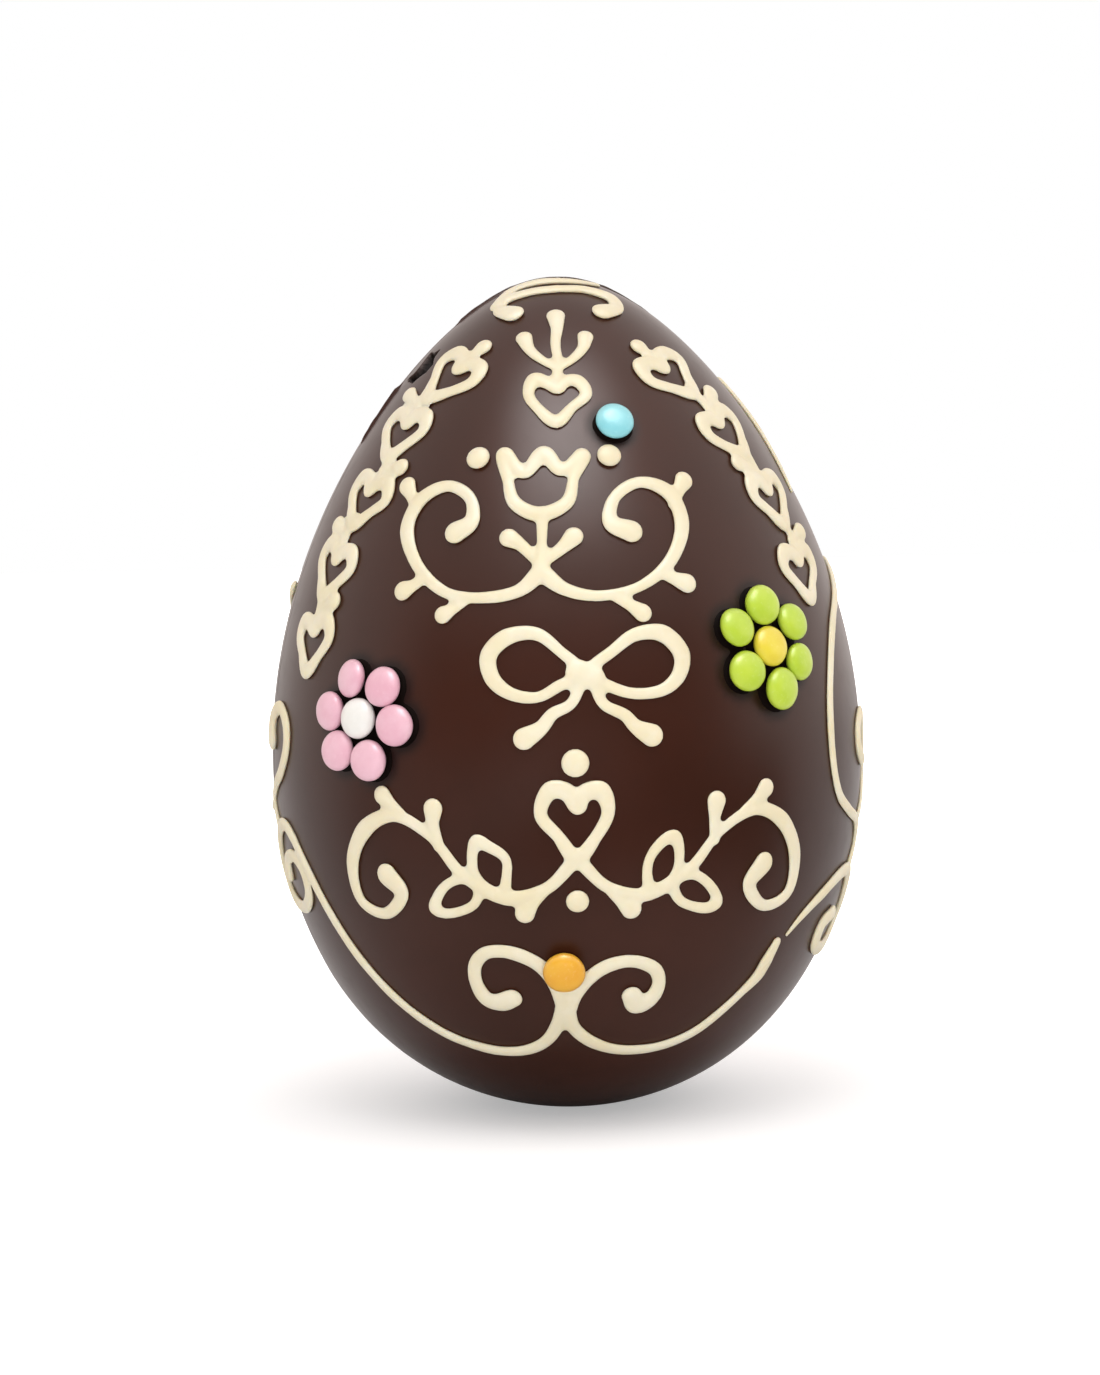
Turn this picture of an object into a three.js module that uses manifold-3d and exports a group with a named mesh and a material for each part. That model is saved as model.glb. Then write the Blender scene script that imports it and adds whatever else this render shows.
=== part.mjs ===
// A large moulded chocolate egg, decorated by hand: piped white-chocolate icing,
// two flowers of sugar-coated sweets and a few single sweets.
// Millimetres, +Z up. The egg stands on its blunt end, the decorated front faces -Y,
// and the origin is the middle of the flat spot it stands on.

import * as THREE from "three";
import { mergeVertices } from "three/addons/utils/BufferGeometryUtils.js";
import Module from "manifold-3d";

// ---- Driving dimensions -------------------------------------------------------

const EGG_HEIGHT = 280;
const EGG_MIDDLE = 139; // height where the plain ellipse is widest
const EGG_HALF_WIDTH = 99.2;
const EGG_HALF_LENGTH = EGG_HEIGHT - EGG_MIDDLE; // the blunt end is cut off flat at height 0
const EGG_TAPER = [1, -0.158, -0.045, -0.06]; // narrows the upper half, fills the lower one
const EGG_RINGS = 24;
const EGG_SIDES = 42;

const SEAM_AZIMUTH = -78.5; // plane where the two half shells meet
const FLASH_HEIGHT = 1.0; // thin fin of chocolate left standing on the seam
const FLASH_WIDTH = 1.2;
const FLASH_SPANS = [[226, 245], [265, EGG_HEIGHT]];

const CHIP = { azimuth: -64.9, height: 250.6, depth: 4 }; // through most of the shell's thickness
const CHIP_OUTLINE = [[-8, -4.6], [-3.4, -6.4], [0.5, -7], [2.3, -4.8], [4.8, -2.3], [5.2, 1.1], [3, 3],
  [1.8, 4.8], [0.9, 7.9], [-1.4, 6.4], [-6, 7], [-5.6, 4], [-4.9, 0.6], [-5.6, -2.6]];

const SWEET_DIAMETER = 13;
const SWEET_THICKNESS = 6.4;
const SWEET_SIDES = 12;
const SWEET_RINGS = 5;
const SWEET_TILT = 4; // degrees, at most, as each one is pressed on by hand

const GAP = 0.3; // clear space between pieces that touch
const BEAD_SECTION = [[-1, 0], [1, 0], [0.62, 1], [-0.62, 1]]; // half widths across, heights
const BEAD_LEAN = 0.9; // how wide a bead runs over the width of its stroke
const BEAD_RISE = 0.33; // height of a bead over its width
const BEAD_RISE_MOST = 2.2;
const BEAD_TURN = THREE.MathUtils.degToRad(33); // a new section after this much bend
const BEAD_SAG = 0.15; // or where the egg would stand this far proud of a straight step
const TIP_RADIUS = 38; // roundness of the egg at its tip
const BEAD_BLOB = 5.4; // ends at least this wide are rounded off
const HAND_SHAKE = 0.6; // how far a hand-piped point strays

const COLOURS = {
  chocolate: 0x42281d,
  icing: 0xf8eacc,
  pink: 0xeebbcb,
  white: 0xfbf8f1,
  green: 0xbfdc3c,
  yellow: 0xf5e24f,
  blue: 0x86d6e4,
  orange: 0xeda93c,
};

// ---- The egg's surface ----------------------------------------------------------

function eggRadius(height) {
  const t = THREE.MathUtils.clamp((height - EGG_MIDDLE) / EGG_HALF_LENGTH, -1, 1);
  const taper = EGG_TAPER.reduce((sum, factor, power) => sum + factor * t ** power, 0);
  return EGG_HALF_WIDTH * Math.sqrt(1 - t * t) * taper;
}

// Distance along the surface from the flat spot up to each height, one entry a step.
const CLIMB_STEP = 0.25;
const CLIMB = [0];
for (let z = CLIMB_STEP; z <= EGG_HEIGHT; z += CLIMB_STEP) {
  const rise = eggRadius(z) - eggRadius(z - CLIMB_STEP);
  CLIMB.push(CLIMB[CLIMB.length - 1] + Math.hypot(CLIMB_STEP, rise));
}

function climbTo(height) {
  const place = THREE.MathUtils.clamp(height / CLIMB_STEP, 0, CLIMB.length - 1.001);
  const below = Math.floor(place);
  return THREE.MathUtils.lerp(CLIMB[below], CLIMB[below + 1], place - below);
}

function heightAfter(climb) {
  let below = CLIMB.findIndex((length) => length > climb) - 1;
  if (below < 0) below = CLIMB.length - 2;
  const part = (climb - CLIMB[below]) / (CLIMB[below + 1] - CLIMB[below]);
  return (below + part) * CLIMB_STEP;
}

// Azimuth 0 is the front (-Y) and grows towards +X. Lift is the distance off the surface.
function onEgg(azimuth, height, lift = 0) {
  const angle = THREE.MathUtils.degToRad(azimuth);
  const slope = (eggRadius(height + 0.05) - eggRadius(height - 0.05)) / 0.1;
  const normal = new THREE.Vector3(Math.sin(angle), -Math.cos(angle), -slope).normalize();
  const radius = eggRadius(height);
  const point = new THREE.Vector3(radius * Math.sin(angle), -radius * Math.cos(angle), height);
  return { point: point.addScaledVector(normal, lift), normal };
}

const azimuthOf = (point) => THREE.MathUtils.radToDeg(Math.atan2(point.x, -point.y));

// ---- Joining and cutting ----------------------------------------------------------

const wasm = await Module();
wasm.setup();

function toSolid(geometry) {
  const bare = geometry.clone();
  bare.deleteAttribute("normal");
  bare.deleteAttribute("uv");
  const merged = mergeVertices(bare, 1e-4);
  return new wasm.Manifold(new wasm.Mesh({
    numProp: 3,
    vertProperties: new Float32Array(merged.attributes.position.array),
    triVerts: new Uint32Array(merged.index.array),
  }));
}

function toGeometry(solid) {
  const mesh = solid.getMesh();
  const geometry = new THREE.BufferGeometry();
  geometry.setAttribute("position", new THREE.BufferAttribute(mesh.vertProperties, 3));
  geometry.setIndex(new THREE.BufferAttribute(mesh.triVerts, 1));
  geometry.computeVertexNormals();
  return geometry;
}

// Joining can seal a hair's breadth of air in: only the outer skin of the largest body is kept.
function soundSolid(solid) {
  return solid.decompose().reduce((most, body) => (body.volume() > most.volume() ? body : most));
}

// ---- The egg -------------------------------------------------------------------------

function eggProfile() {
  const lowest = Math.acos(EGG_MIDDLE / EGG_HALF_LENGTH);
  const heights = [];
  for (let i = 0; i <= EGG_RINGS; i++) {
    const angle = THREE.MathUtils.lerp(lowest, Math.PI, i / EGG_RINGS);
    heights.push(EGG_MIDDLE - EGG_HALF_LENGTH * Math.cos(angle));
  }
  heights[0] = 0;
  heights[EGG_RINGS] = EGG_HEIGHT;
  return heights;
}

function eggLathe() {
  const points = eggProfile().map((z) => new THREE.Vector2(eggRadius(z), z));
  points[EGG_RINGS].x = 0;
  points.unshift(new THREE.Vector2(0, 0));
  return new THREE.LatheGeometry(points, EGG_SIDES).rotateX(Math.PI / 2);
}

// A flat plate in the seam plane, its edge at offset(height) from the egg's surface.
function seamPlate(width, offset) {
  const heights = [];
  for (let z = 0; z < EGG_HEIGHT; z += 6) heights.push(z);
  heights.push(EGG_HEIGHT);
  const side = heights.map((z) => {
    const { point, normal } = onEgg(90, z, offset(z));
    return z === EGG_HEIGHT ? new THREE.Vector2(0, z + offset(z)) : new THREE.Vector2(point.x, point.z);
  });
  const mirrored = side.slice(0, -1).reverse().map((p) => new THREE.Vector2(-p.x, p.y));
  const shape = new THREE.Shape([...side, ...mirrored]);
  const plate = new THREE.ExtrudeGeometry(shape, { depth: width, bevelEnabled: false });
  plate.translate(0, 0, -width / 2);
  plate.rotateX(Math.PI / 2);
  return plate.rotateZ(THREE.MathUtils.degToRad(SEAM_AZIMUTH + 90));
}

// A thin fin of flash left on the seam in places near the tip.
function seamFlash() {
  const inSpan = (height) => FLASH_SPANS.some(([from, to]) => height >= from && height <= to);
  return toSolid(seamPlate(FLASH_WIDTH, (height) => (inSpan(height) ? FLASH_HEIGHT : -2)));
}

// A flake of shell broken out beside the seam.
function chipCut() {
  const shape = new THREE.Shape(CHIP_OUTLINE.map(([u, v]) => new THREE.Vector2(u, v)));
  const cut = new THREE.ExtrudeGeometry(shape, { depth: CHIP.depth * 3, bevelEnabled: false });
  cut.translate(0, 0, -CHIP.depth);
  return toSolid(cut.applyMatrix4(frameOnEgg(CHIP.azimuth, CHIP.height)));
}

// X runs round the egg, Y climbs it, Z stands off it.
function frameOnEgg(azimuth, height, lift = 0) {
  const { point, normal } = onEgg(azimuth, height, lift);
  const angle = THREE.MathUtils.degToRad(azimuth);
  const round = new THREE.Vector3(Math.cos(angle), Math.sin(angle), 0);
  const up = new THREE.Vector3().crossVectors(normal, round);
  return new THREE.Matrix4().makeBasis(round, up, normal).setPosition(point);
}

function eggSolid() {
  return toSolid(eggLathe()).add(seamFlash()).subtract(chipCut());
}

// ---- Sweets -------------------------------------------------------------------------------

// A sugar-coated lentil round the origin, lying flat, grown all over by a margin.
function sweetGeometry(margin = 0) {
  const points = [];
  for (let i = 0; i <= SWEET_RINGS; i++) {
    const angle = THREE.MathUtils.lerp(-90, 90, i / SWEET_RINGS) * THREE.MathUtils.DEG2RAD;
    const across = Math.cos(angle) ** 0.85 * (SWEET_DIAMETER / 2 + margin);
    points.push(new THREE.Vector2(across, Math.sin(angle) * (SWEET_THICKNESS / 2 + margin)));
  }
  points[0].x = 0;
  points[SWEET_RINGS].x = 0;
  return new THREE.LatheGeometry(points, SWEET_SIDES).rotateX(Math.PI / 2);
}

// Local (u, v) in millimetres round and up from an anchor, laid on the egg.
function spotBeside({ azimuth, height, turn = 0 }, u, v) {
  const angle = THREE.MathUtils.degToRad(turn);
  const along = u * Math.cos(angle) - v * Math.sin(angle);
  const climb = u * Math.sin(angle) + v * Math.cos(angle);
  const z = heightAfter(climbTo(height) + climb);
  const degrees = THREE.MathUtils.radToDeg(along / Math.max(eggRadius(z), 12));
  return { azimuth: azimuth + degrees, height: z };
}

// Bed is how far the sweet stands off the chocolate: a gap, or the icing it is pressed into.
// Lean is how many degrees its face turns round the egg and up.
function sweetSolid({ azimuth, height, bed = GAP, size = 1, lean = [0, 0] }, index, margin = 0) {
  const up = -lean[1] + SWEET_TILT * Math.sin(index * 2.4);
  const round = lean[0] + SWEET_TILT * Math.cos(index * 2.4);
  const tilt = new THREE.Matrix4().makeRotationFromEuler(
    new THREE.Euler(THREE.MathUtils.degToRad(up), THREE.MathUtils.degToRad(round), 0));
  const place = frameOnEgg(azimuth, height, bed + (SWEET_THICKNESS * size) / 2);
  return toSolid(sweetGeometry(margin).scale(size, size, size).applyMatrix4(place.multiply(tilt)));
}

// Petals stand round a middle sweet at [distance, direction, lean round, lean up, size].
const FLOWERS = [
  {
    petal: "pink", middle: "white", azimuth: -40.2, height: 137.7,
    petals: [[13.2, 109, -9, 5, 0.95], [13.6, 48, 0, 0, 1], [14.6, -7, 0, 0, 1.02], [13.8, -70, 6, 0, 1.02],
      [13.6, -130, 0, 0, 1], [13.2, 172, -4, 0, 0.98]],
  },
  {
    petal: "green", middle: "yellow", azimuth: 41.4, height: 157.6,
    petals: [[13.3, 90, -9, 0, 0.99], [14.5, 30, 2, 7, 0.94], [13.9, -24, 2, -7, 0.93], [13.8, -80, 4, 0, 1.05],
      [13.1, -146, 0, 0, 1], [13.7, 151, 0, 5, 0.97]],
  },
];
const SINGLE_SWEETS = [
  { colour: "blue", azimuth: 14.9, height: 229.3, size: 0.95 },
  { colour: "orange", azimuth: -1.3, height: 59, bed: 1.2, size: 1.04 },
  { colour: "orange", azimuth: 180, height: 58, bed: 1.2, name: "sweet_back" },
];

function allSweets() {
  const list = [];
  for (const flower of FLOWERS) {
    const { azimuth, height } = flower;
    list.push({ name: `sweet_${flower.middle}`, colour: flower.middle, azimuth, height });
    flower.petals.forEach(([distance, direction, round, up, size], i) => {
      const angle = THREE.MathUtils.degToRad(direction);
      const spot = spotBeside(flower, distance * Math.cos(angle), distance * Math.sin(angle));
      list.push({ name: `sweet_${flower.petal}_${i + 1}`, colour: flower.petal, lean: [round, up], size, ...spot });
    });
  }
  return [...list, ...SINGLE_SWEETS.map((single) => ({ name: `sweet_${single.colour}`, ...single }))];
}

const SWEETS = allSweets();

// ---- Piped strokes ------------------------------------------------------------------------
// A motif is a list of strokes in its own plane, a stroke a list of [u, v, width].
// A wide end is where the bag rested, a thin one where it was pulled away.

const mirrored = (strokes) => strokes.map((stroke) => stroke.map(([u, v, width]) => [-u, v, width]));
const twin = (strokes) => [...strokes, ...mirrored(strokes)];

function moved(strokes, u0, v0, turn = 0) {
  const cos = Math.cos(THREE.MathUtils.degToRad(turn));
  const sin = Math.sin(THREE.MathUtils.degToRad(turn));
  const place = ([u, v, width]) => [u0 + u * cos - v * sin, v0 + u * sin + v * cos, width];
  return strokes.map((stroke) => stroke.map(place));
}

// A bud on a short stem: thin near the root, squeezed out round at the end.
function bud(length, width) {
  const shape = [[0, 0.55], [0.62, 0.66], [1, 1]];
  return [shape.map(([part, wide]) => [part * length, 0, wide * width])];
}

// Loops come back to where they start.
const loopOf = (half) => [[...half, ...mirrored([half])[0].reverse().slice(1)]];

// An outlined leaf along +U.
function leaf(length, width, bead) {
  const half = [[0, 0, 1.1], [0.36, 0.25, 0.85], [0.42, 0.55, 0.85], [0.2, 0.86, 1], [0, 0.98, 1.25]];
  return moved(loopOf(half.map(([v, u, wide]) => [v * width, u * length, wide * bead])), 0, 0, -90);
}

function heart(width, height, bead) {
  const half = [[0, -0.5, 1.15], [0.27, -0.2, 0.8], [0.46, 0.13, 0.9], [0.34, 0.43, 1.2], [0.12, 0.4, 1.1],
    [0, 0.22, 1]];
  return loopOf(half.map(([u, v, wide]) => [u * width, v * height, wide * bead]));
}

const TULIP = loopOf([[0, -8, 6.2], [8, -4.5, 5], [10.5, 4, 4], [12, 13, 6.4], [5.5, 7, 4.4], [0, 13, 6.4]]);

// A tulip between two scrolls.
const CREST = [
  ...moved(TULIP, 0, 11),
  [[0, 4, 4.6], [0.4, -7, 3.8], [0, -17, 6.6]],
  ...twin([
    [[0, -17, 6.6], [7, -22.5, 5], [18, -25, 4.2], [31, -22.5, 4], [41.5, -13.5, 4.8], [45.5, -1, 6],
      [41, 9, 6], [31, 13, 4.6], [23.5, 8, 4.4], [22.5, 0, 6], [28, -3.5, 8.6]],
    ...moved(bud(12.5, 7.2), 1, -13, 42),
    ...moved(bud(10, 7.4), 38, -17.5, -28),
    ...moved(bud(9.5, 7.2), 43, 5, 64),
    ...moved(bud(10.5, 6.6), 23, -25, -34),
  ]),
];

// A heart with a spray of three buds growing from it.
const SPRAY = [
  ...moved(heart(20, 18, 5), 0, -28),
  [[0, -23, 4.6], [0.4, -13, 3.6], [0, -4, 3.8], [0, 4, 4.8], [0, 9.5, 7]],
  ...twin([[[0, -15, 3.6], [4.5, -11.5, 3.6], [8.6, -6, 4.4], [10, -0.5, 6.6]]]),
];

// An arch with a curl at either end, and a second line thrown over it.
const BRACKET = [
  ...twin([[[0, 2, 5.2], [10, 0, 5.4], [19, -5.5, 6.2], [21, -12, 5.8], [15.5, -14, 8.2]]]),
  [[-21.5, -9, 6.4], [-16.5, 2, 5.4], [-6, 8.2, 5.4], [5, 9.2, 4.8], [15.5, 5.5, 3]],
];

const BOW = [
  [[-2.2, 0.6, 9], [2.2, -0.4, 9]],
  ...twin([
    [[1, 0.5, 4.6], [8, 8, 4.2], [16, 13, 5], [25, 12.5, 6.4], [31, 6, 6.6], [30, -1, 5.6], [24, -5.5, 4.6],
      [15, -6, 4], [8, -3.5, 4.2], [1, 0.5, 4.6]],
    [[2, -2, 4.6], [5.4, -8.4, 4], [11.2, -12.4, 4.4], [15, -16.6, 5.2], [20, -19.5, 8]],
  ]),
];

// A heart on a long leafy stem with a curl at either end.
const BRANCH = [
  ...moved(heart(23, 23, 5.6), 0, 8),
  ...twin([
    [[0, -3.5, 5.4], [9, -13, 4.4], [22, -16.5, 5.8], [36, -9, 4.4], [48, 3, 4], [61, 9, 5],
      [73, 4.5, 6.4], [79.5, -7, 6], [76, -20, 4.6], [65.5, -24, 4.6], [59, -16, 6], [64, -9.5, 8.6]],
    ...moved(leaf(19, 12.5, 4.4), 24, -15, 68),
    ...moved(leaf(18, 12, 4.4), 31, -12, -30),
    ...moved(bud(12.5, 7.6), 45, 0, 84),
    ...moved(bud(12, 7.2), 56, 8, 40),
    ...moved(bud(11, 7.2), 9, -13, -48),
  ]),
];

// One link of a garland along +U: a heart, then a length of stem with a bud on one side (1 or -1).
const LINK_LENGTH = 27;
const link = (side) => [
  ...moved(heart(23, 17.5, 5.8), 8.7, 0, -90),
  [[13.4, 0, 5.4], [19, side * 0.8, 4.4], [LINK_LENGTH, 0, 4.6]],
  ...moved(bud(9.5, 7.2), 20, 0, side * 72),
];
const LAST_LINK = [...moved(heart(23, 17.5, 5.8), 8.7, 0, -90), ...moved(bud(9, 7.2), 13.4, 0, 0)];

// ---- Where the icing goes ------------------------------------------------------------------

// A small steady shake of the hand between -1 and 1, the same at every run.
function shake(seed) {
  const value = Math.sin(seed * 12.9898) * 43758.5453;
  return 2 * (value - Math.floor(value)) - 1;
}

// Strokes on the egg are lists of [azimuth, height, width].
function laidAt(anchor, strokes) {
  return strokes.map((stroke) => stroke.map(([u, v, width]) => {
    const seed = u * 0.31 + v * 0.17 + anchor.azimuth * 0.01;
    const spot = spotBeside(anchor, u + HAND_SHAKE * shake(seed), v + HAND_SHAKE * shake(seed + 0.5));
    return [spot.azimuth, spot.height, width * (1 + 0.05 * shake(seed + 0.25))];
  }));
}

// Stations at equal steps along a smooth line through [azimuth, height] points.
function garlandAlong(points, links) {
  const path = new THREE.CatmullRomCurve3(points.map(([azimuth, height]) => onEgg(azimuth, height).point));
  path.arcLengthDivisions = 400;
  const strokes = [];
  for (let i = 0; i < links; i++) {
    const here = path.getPointAt(i / links);
    const ahead = path.getTangentAt(i / links);
    const azimuth = azimuthOf(here);
    const axes = frameOnEgg(azimuth, here.z);
    const round = new THREE.Vector3().setFromMatrixColumn(axes, 0).dot(ahead);
    const up = new THREE.Vector3().setFromMatrixColumn(axes, 1).dot(ahead);
    const turn = THREE.MathUtils.radToDeg(Math.atan2(up, round));
    const motif = i === links - 1 ? LAST_LINK : link(i % 2 ? 1 : -1);
    strokes.push(...laidAt({ azimuth, height: here.z, turn }, motif));
  }
  return strokes;
}

// The scrolls low on the front run round both sides, so they are set down as [azimuth, height, width].
const LEFT_CURL = [[-13, 48.2, 7.5], [-15.5, 46.8, 8], [-18.6, 47.4, 6.5], [-20.4, 53, 5.4], [-19.8, 59.5, 5.2],
  [-17.3, 63.4, 5.2], [-13.5, 64.2, 5.4], [-9.5, 62.5, 5.6], [-5.9, 58.9, 5.6], [-3.2, 52.6, 5.6],
  [-1.6, 45.5, 6.4]];
const LEFT_ARM = [[-1.6, 45.5, 6.4], [-3.2, 39, 5.4], [-6.4, 32.8, 5.2], [-11.5, 29.3, 5.2], [-18.4, 28.3, 5],
  [-26, 29.9, 4.8], [-33.2, 33.3, 4.6], [-41.2, 41, 4.6], [-47.1, 50.2, 4.6], [-52.3, 61.4, 4.6],
  [-56.8, 73.3, 4.6], [-61.6, 86, 4.8], [-66, 95.4, 5]];
const LEFT_SPIRAL = [[-66, 95.4, 5], [-69, 98.8, 5.2], [-72.6, 99.4, 5.4], [-76, 96.6, 5.2], [-79, 91, 5],
  [-80.8, 84.6, 5], [-80.2, 78, 5], [-75, 72.6, 5.4], [-68.7, 72.3, 5.4], [-64, 77.5, 5.4], [-63.8, 84.6, 5.2],
  [-67.8, 89.4, 5.2], [-73, 87.4, 5.8], [-74.4, 82.6, 7]];
const LEFT_HOOK = [[-76, 98, 4], [-79, 106, 3.4], [-75, 112.5, 4.4], [-70.4, 117.2, 5], [-66.8, 125, 5.2],
  [-66.8, 132.6, 5.2], [-71.2, 138.2, 5.4], [-76.6, 135.6, 6.6], [-77.4, 130.4, 7.6], [-76.8, 127, 7.8]];
const LEFT_BOW = [[-79, 106, 3.4], [-87, 103, 3.8], [-97, 105, 3.6], [-105, 113, 3.4], [-109, 128, 3.4],
  [-108, 145, 3.4], [-103, 160, 3.8], [-95, 171, 4.4], [-87, 177, 6.2]];
const RIGHT_CURL = [[13.2, 48.4, 7.4], [14.8, 45, 8.2], [17.6, 46.6, 6.5], [19, 51.4, 5.4], [17.9, 56.4, 5.2],
  [14.6, 59.4, 5.2], [10.9, 60.1, 5.4], [6.9, 58.4, 5.6], [3.5, 54.5, 5.6], [0.7, 49, 5.8], [-1, 43.6, 6.4]];
const RIGHT_ARM = [[-1, 43.6, 6.4], [0.2, 38, 5.6], [3.9, 32.9, 5.4], [10, 29.2, 5.2], [17.3, 28, 5],
  [24.7, 28.8, 4.8], [32.4, 32.4, 4.6], [37.9, 38.4, 4.4], [42.7, 45.4, 4.4], [45.6, 50.5, 6],
  [46.6, 55, 6.2], [48.2, 61, 4.4]];
const RIGHT_SPIRAL = [[51.4, 63, 1.8], [54.8, 68.2, 3.4], [61.5, 74.6, 4.8], [70.5, 79.8, 5.6],
  [77, 79.3, 5.8], [81.5, 72, 5.4], [83.5, 63, 5.2], [80, 55.8, 5.4], [73, 53.8, 6], [67, 57.6, 6.4],
  [66.8, 63.4, 6.4], [71.5, 66, 7]];
const RIGHT_BOW = [[76, 79.5, 4.2], [80, 88, 3.6], [77, 96, 4.2], [69.5, 101, 4.4], [63, 107.5, 4.2],
  [60, 118, 4.2], [59.6, 134, 4.2], [62.4, 149, 4.2], [68.5, 163, 4.4], [79, 173, 4.6], [90, 181, 5],
  [100, 182, 6.5]];
const RIGHT_HOOK = [[77, 96, 3.6], [83.5, 101, 3.8], [88.5, 109, 4.2], [89.5, 121, 4.4], [86, 130.5, 4.6],
  [79.5, 131.5, 5], [75.4, 127, 5.4], [75.6, 121, 5.6], [79.4, 116.6, 6]];
const RIGHT_TAIL = [[97, 244, 5.4], [90, 235, 4.8], [84, 224, 3.8], [79.5, 214, 3], [77.5, 207, 2]];

const turnedRound = (strokes, degrees) =>
  strokes.map((stroke) => stroke.map(([azimuth, height, width]) => [azimuth + degrees, height, width]));
const swapped = (strokes) =>
  strokes.map((stroke) => stroke.map(([azimuth, height, width]) => [-azimuth, height, width]));

// The back has the same pair of scrolls, ending in a spiral on either side.
const BACK_HALF = [LEFT_CURL, LEFT_ARM, LEFT_SPIRAL];

const GARLAND_LEFT = [[-59, 152], [-59, 172], [-56, 192], [-53, 212], [-50, 231], [-39, 248], [-26, 253]];
const GARLAND_RIGHT = [[60, 172], [60, 188], [59, 203], [56, 218], [50, 234], [40, 248], [28, 254]];

const CREST_FRONT = { azimuth: -4.5, height: 199 };
const CREST_BACK = { azimuth: 180, height: 176 };
const BRANCH_FRONT = { azimuth: 1.5, height: 98 };

const ORNAMENTS = {
  icing_scroll_front: [LEFT_CURL, LEFT_ARM, LEFT_SPIRAL, LEFT_HOOK, LEFT_BOW, RIGHT_CURL, RIGHT_ARM],
  icing_scroll_right: [RIGHT_SPIRAL, RIGHT_BOW, RIGHT_HOOK],
  icing_scroll_back: turnedRound([...BACK_HALF, ...swapped(BACK_HALF)], 180),
  icing_tail_right: [RIGHT_TAIL],
  icing_garland_left: garlandAlong(GARLAND_LEFT, 5),
  icing_garland_right: garlandAlong(GARLAND_RIGHT, 4),
  icing_bracket_front: laidAt({ azimuth: 0, height: 274.5 }, BRACKET),
  icing_bracket_back: laidAt({ azimuth: 180, height: 272.5 }, BRACKET),
  icing_spray: laidAt({ azimuth: -1, height: 259 }, SPRAY),
  icing_crest_front: laidAt(CREST_FRONT, CREST),
  icing_crest_back: laidAt(CREST_BACK, CREST),
  icing_bow: laidAt({ azimuth: 4, height: 151.5 }, BOW),
  icing_branch: laidAt(BRANCH_FRONT, BRANCH),
};

const DOTS = [
  [CREST_FRONT, -21, 23, 8], [CREST_FRONT, 21, 23, 8],
  [CREST_BACK, -21, 23, 8], [CREST_BACK, 21, 23, 8], [CREST_BACK, 0, -28, 7.5], [CREST_BACK, 0, -38, 6.5],
  [BRANCH_FRONT, 0, 26.5, 9], [BRANCH_FRONT, 0, -17.5, 7.5],
];

// ---- Beads of icing -------------------------------------------------------------------------

const isLoop = (stroke) => Math.hypot(...[0, 1].map((i) => stroke[0][i] - stroke.at(-1)[i])) < 1e-6;

// Follows a stroke closely, and keeps a point only where it has turned or run far enough.
function stationsOf(stroke) {
  const loop = isLoop(stroke);
  const points = stroke.map(([azimuth, height]) => onEgg(azimuth, height).point);
  const curve = new THREE.CatmullRomCurve3(loop ? points.slice(0, -1) : points, loop);
  const steps = Math.max(6, Math.ceil(curve.getLength() / 0.8));
  const stations = [];
  for (let i = 0; i <= steps; i++) {
    const t = curve.getUtoTmapping(i / steps);
    const at = t * (stroke.length - 1);
    const before = Math.min(Math.floor(at), stroke.length - 2);
    const width = THREE.MathUtils.lerp(stroke[before][2], stroke[before + 1][2], at - before) * BEAD_LEAN;
    const station = { point: curve.getPoint(t), ahead: curve.getTangent(t), width };
    const kept = stations.at(-1);
    if (!kept || i === steps || isDue(station, kept)) stations.push(station);
  }
  if (loop) stations.pop();
  const crowded = stations.length > 2 && stations.at(-1).point.distanceTo(stations.at(-2).point) < 1.5;
  if (crowded) stations.splice(-2, 1);
  return stations;
}

function isDue(station, kept) {
  const roundness = Math.max(eggRadius(station.point.z), TIP_RADIUS);
  const far = station.point.distanceTo(kept.point) > Math.sqrt(8 * BEAD_SAG * roundness);
  return far || station.ahead.angleTo(kept.ahead) > BEAD_TURN || Math.abs(station.width - kept.width) > 1.2;
}

// The bead's section across a station, laid on the egg point by point.
function sectionAt({ point, ahead, width }, size = 1) {
  const rise = Math.min(width * BEAD_RISE, BEAD_RISE_MOST) * size;
  const { normal } = onEgg(azimuthOf(point), point.z);
  const across = new THREE.Vector3().crossVectors(ahead, normal).normalize();
  return BEAD_SECTION.map(([side, up]) => {
    const beside = point.clone().addScaledVector(across, (side * width * size) / 2);
    return onEgg(azimuthOf(beside), beside.z, GAP + up * rise).point;
  });
}

function shiftedAhead(station, distance) {
  return { ...station, point: station.point.clone().addScaledVector(station.ahead, distance) };
}

// A closed skin over rings of equal count, capped at its ends or joined into a loop.
function skinOf(rings, loop) {
  const count = rings[0].length;
  const index = [];
  for (let i = 0; i < rings.length - (loop ? 0 : 1); i++) {
    const next = ((i + 1) % rings.length) * count;
    for (let j = 0; j < count; j++) {
      const side = (j + 1) % count;
      index.push(i * count + j, next + j, i * count + side);
      index.push(i * count + side, next + j, next + side);
    }
  }
  const last = (rings.length - 1) * count;
  for (let j = 1; j + 1 < count && !loop; j++) {
    index.push(0, j, j + 1, last, last + j + 1, last + j);
  }
  return new THREE.BufferGeometry().setFromPoints(rings.flat()).setIndex(index);
}

// A fat end of a stroke is rounded off.
function roundEnd(station, sign) {
  if (station.width < BEAD_BLOB) return [];
  return [sectionAt(shiftedAhead(station, sign * 0.36 * station.width), 0.55)];
}

function beadSolid(stroke) {
  const stations = stationsOf(stroke);
  const rings = stations.map((station) => sectionAt(station));
  if (isLoop(stroke)) return toSolid(skinOf(rings, true));
  const start = roundEnd(stations[0], -1);
  const end = roundEnd(stations.at(-1), 1);
  return toSolid(skinOf([...start, ...rings, ...end], false));
}

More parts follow.
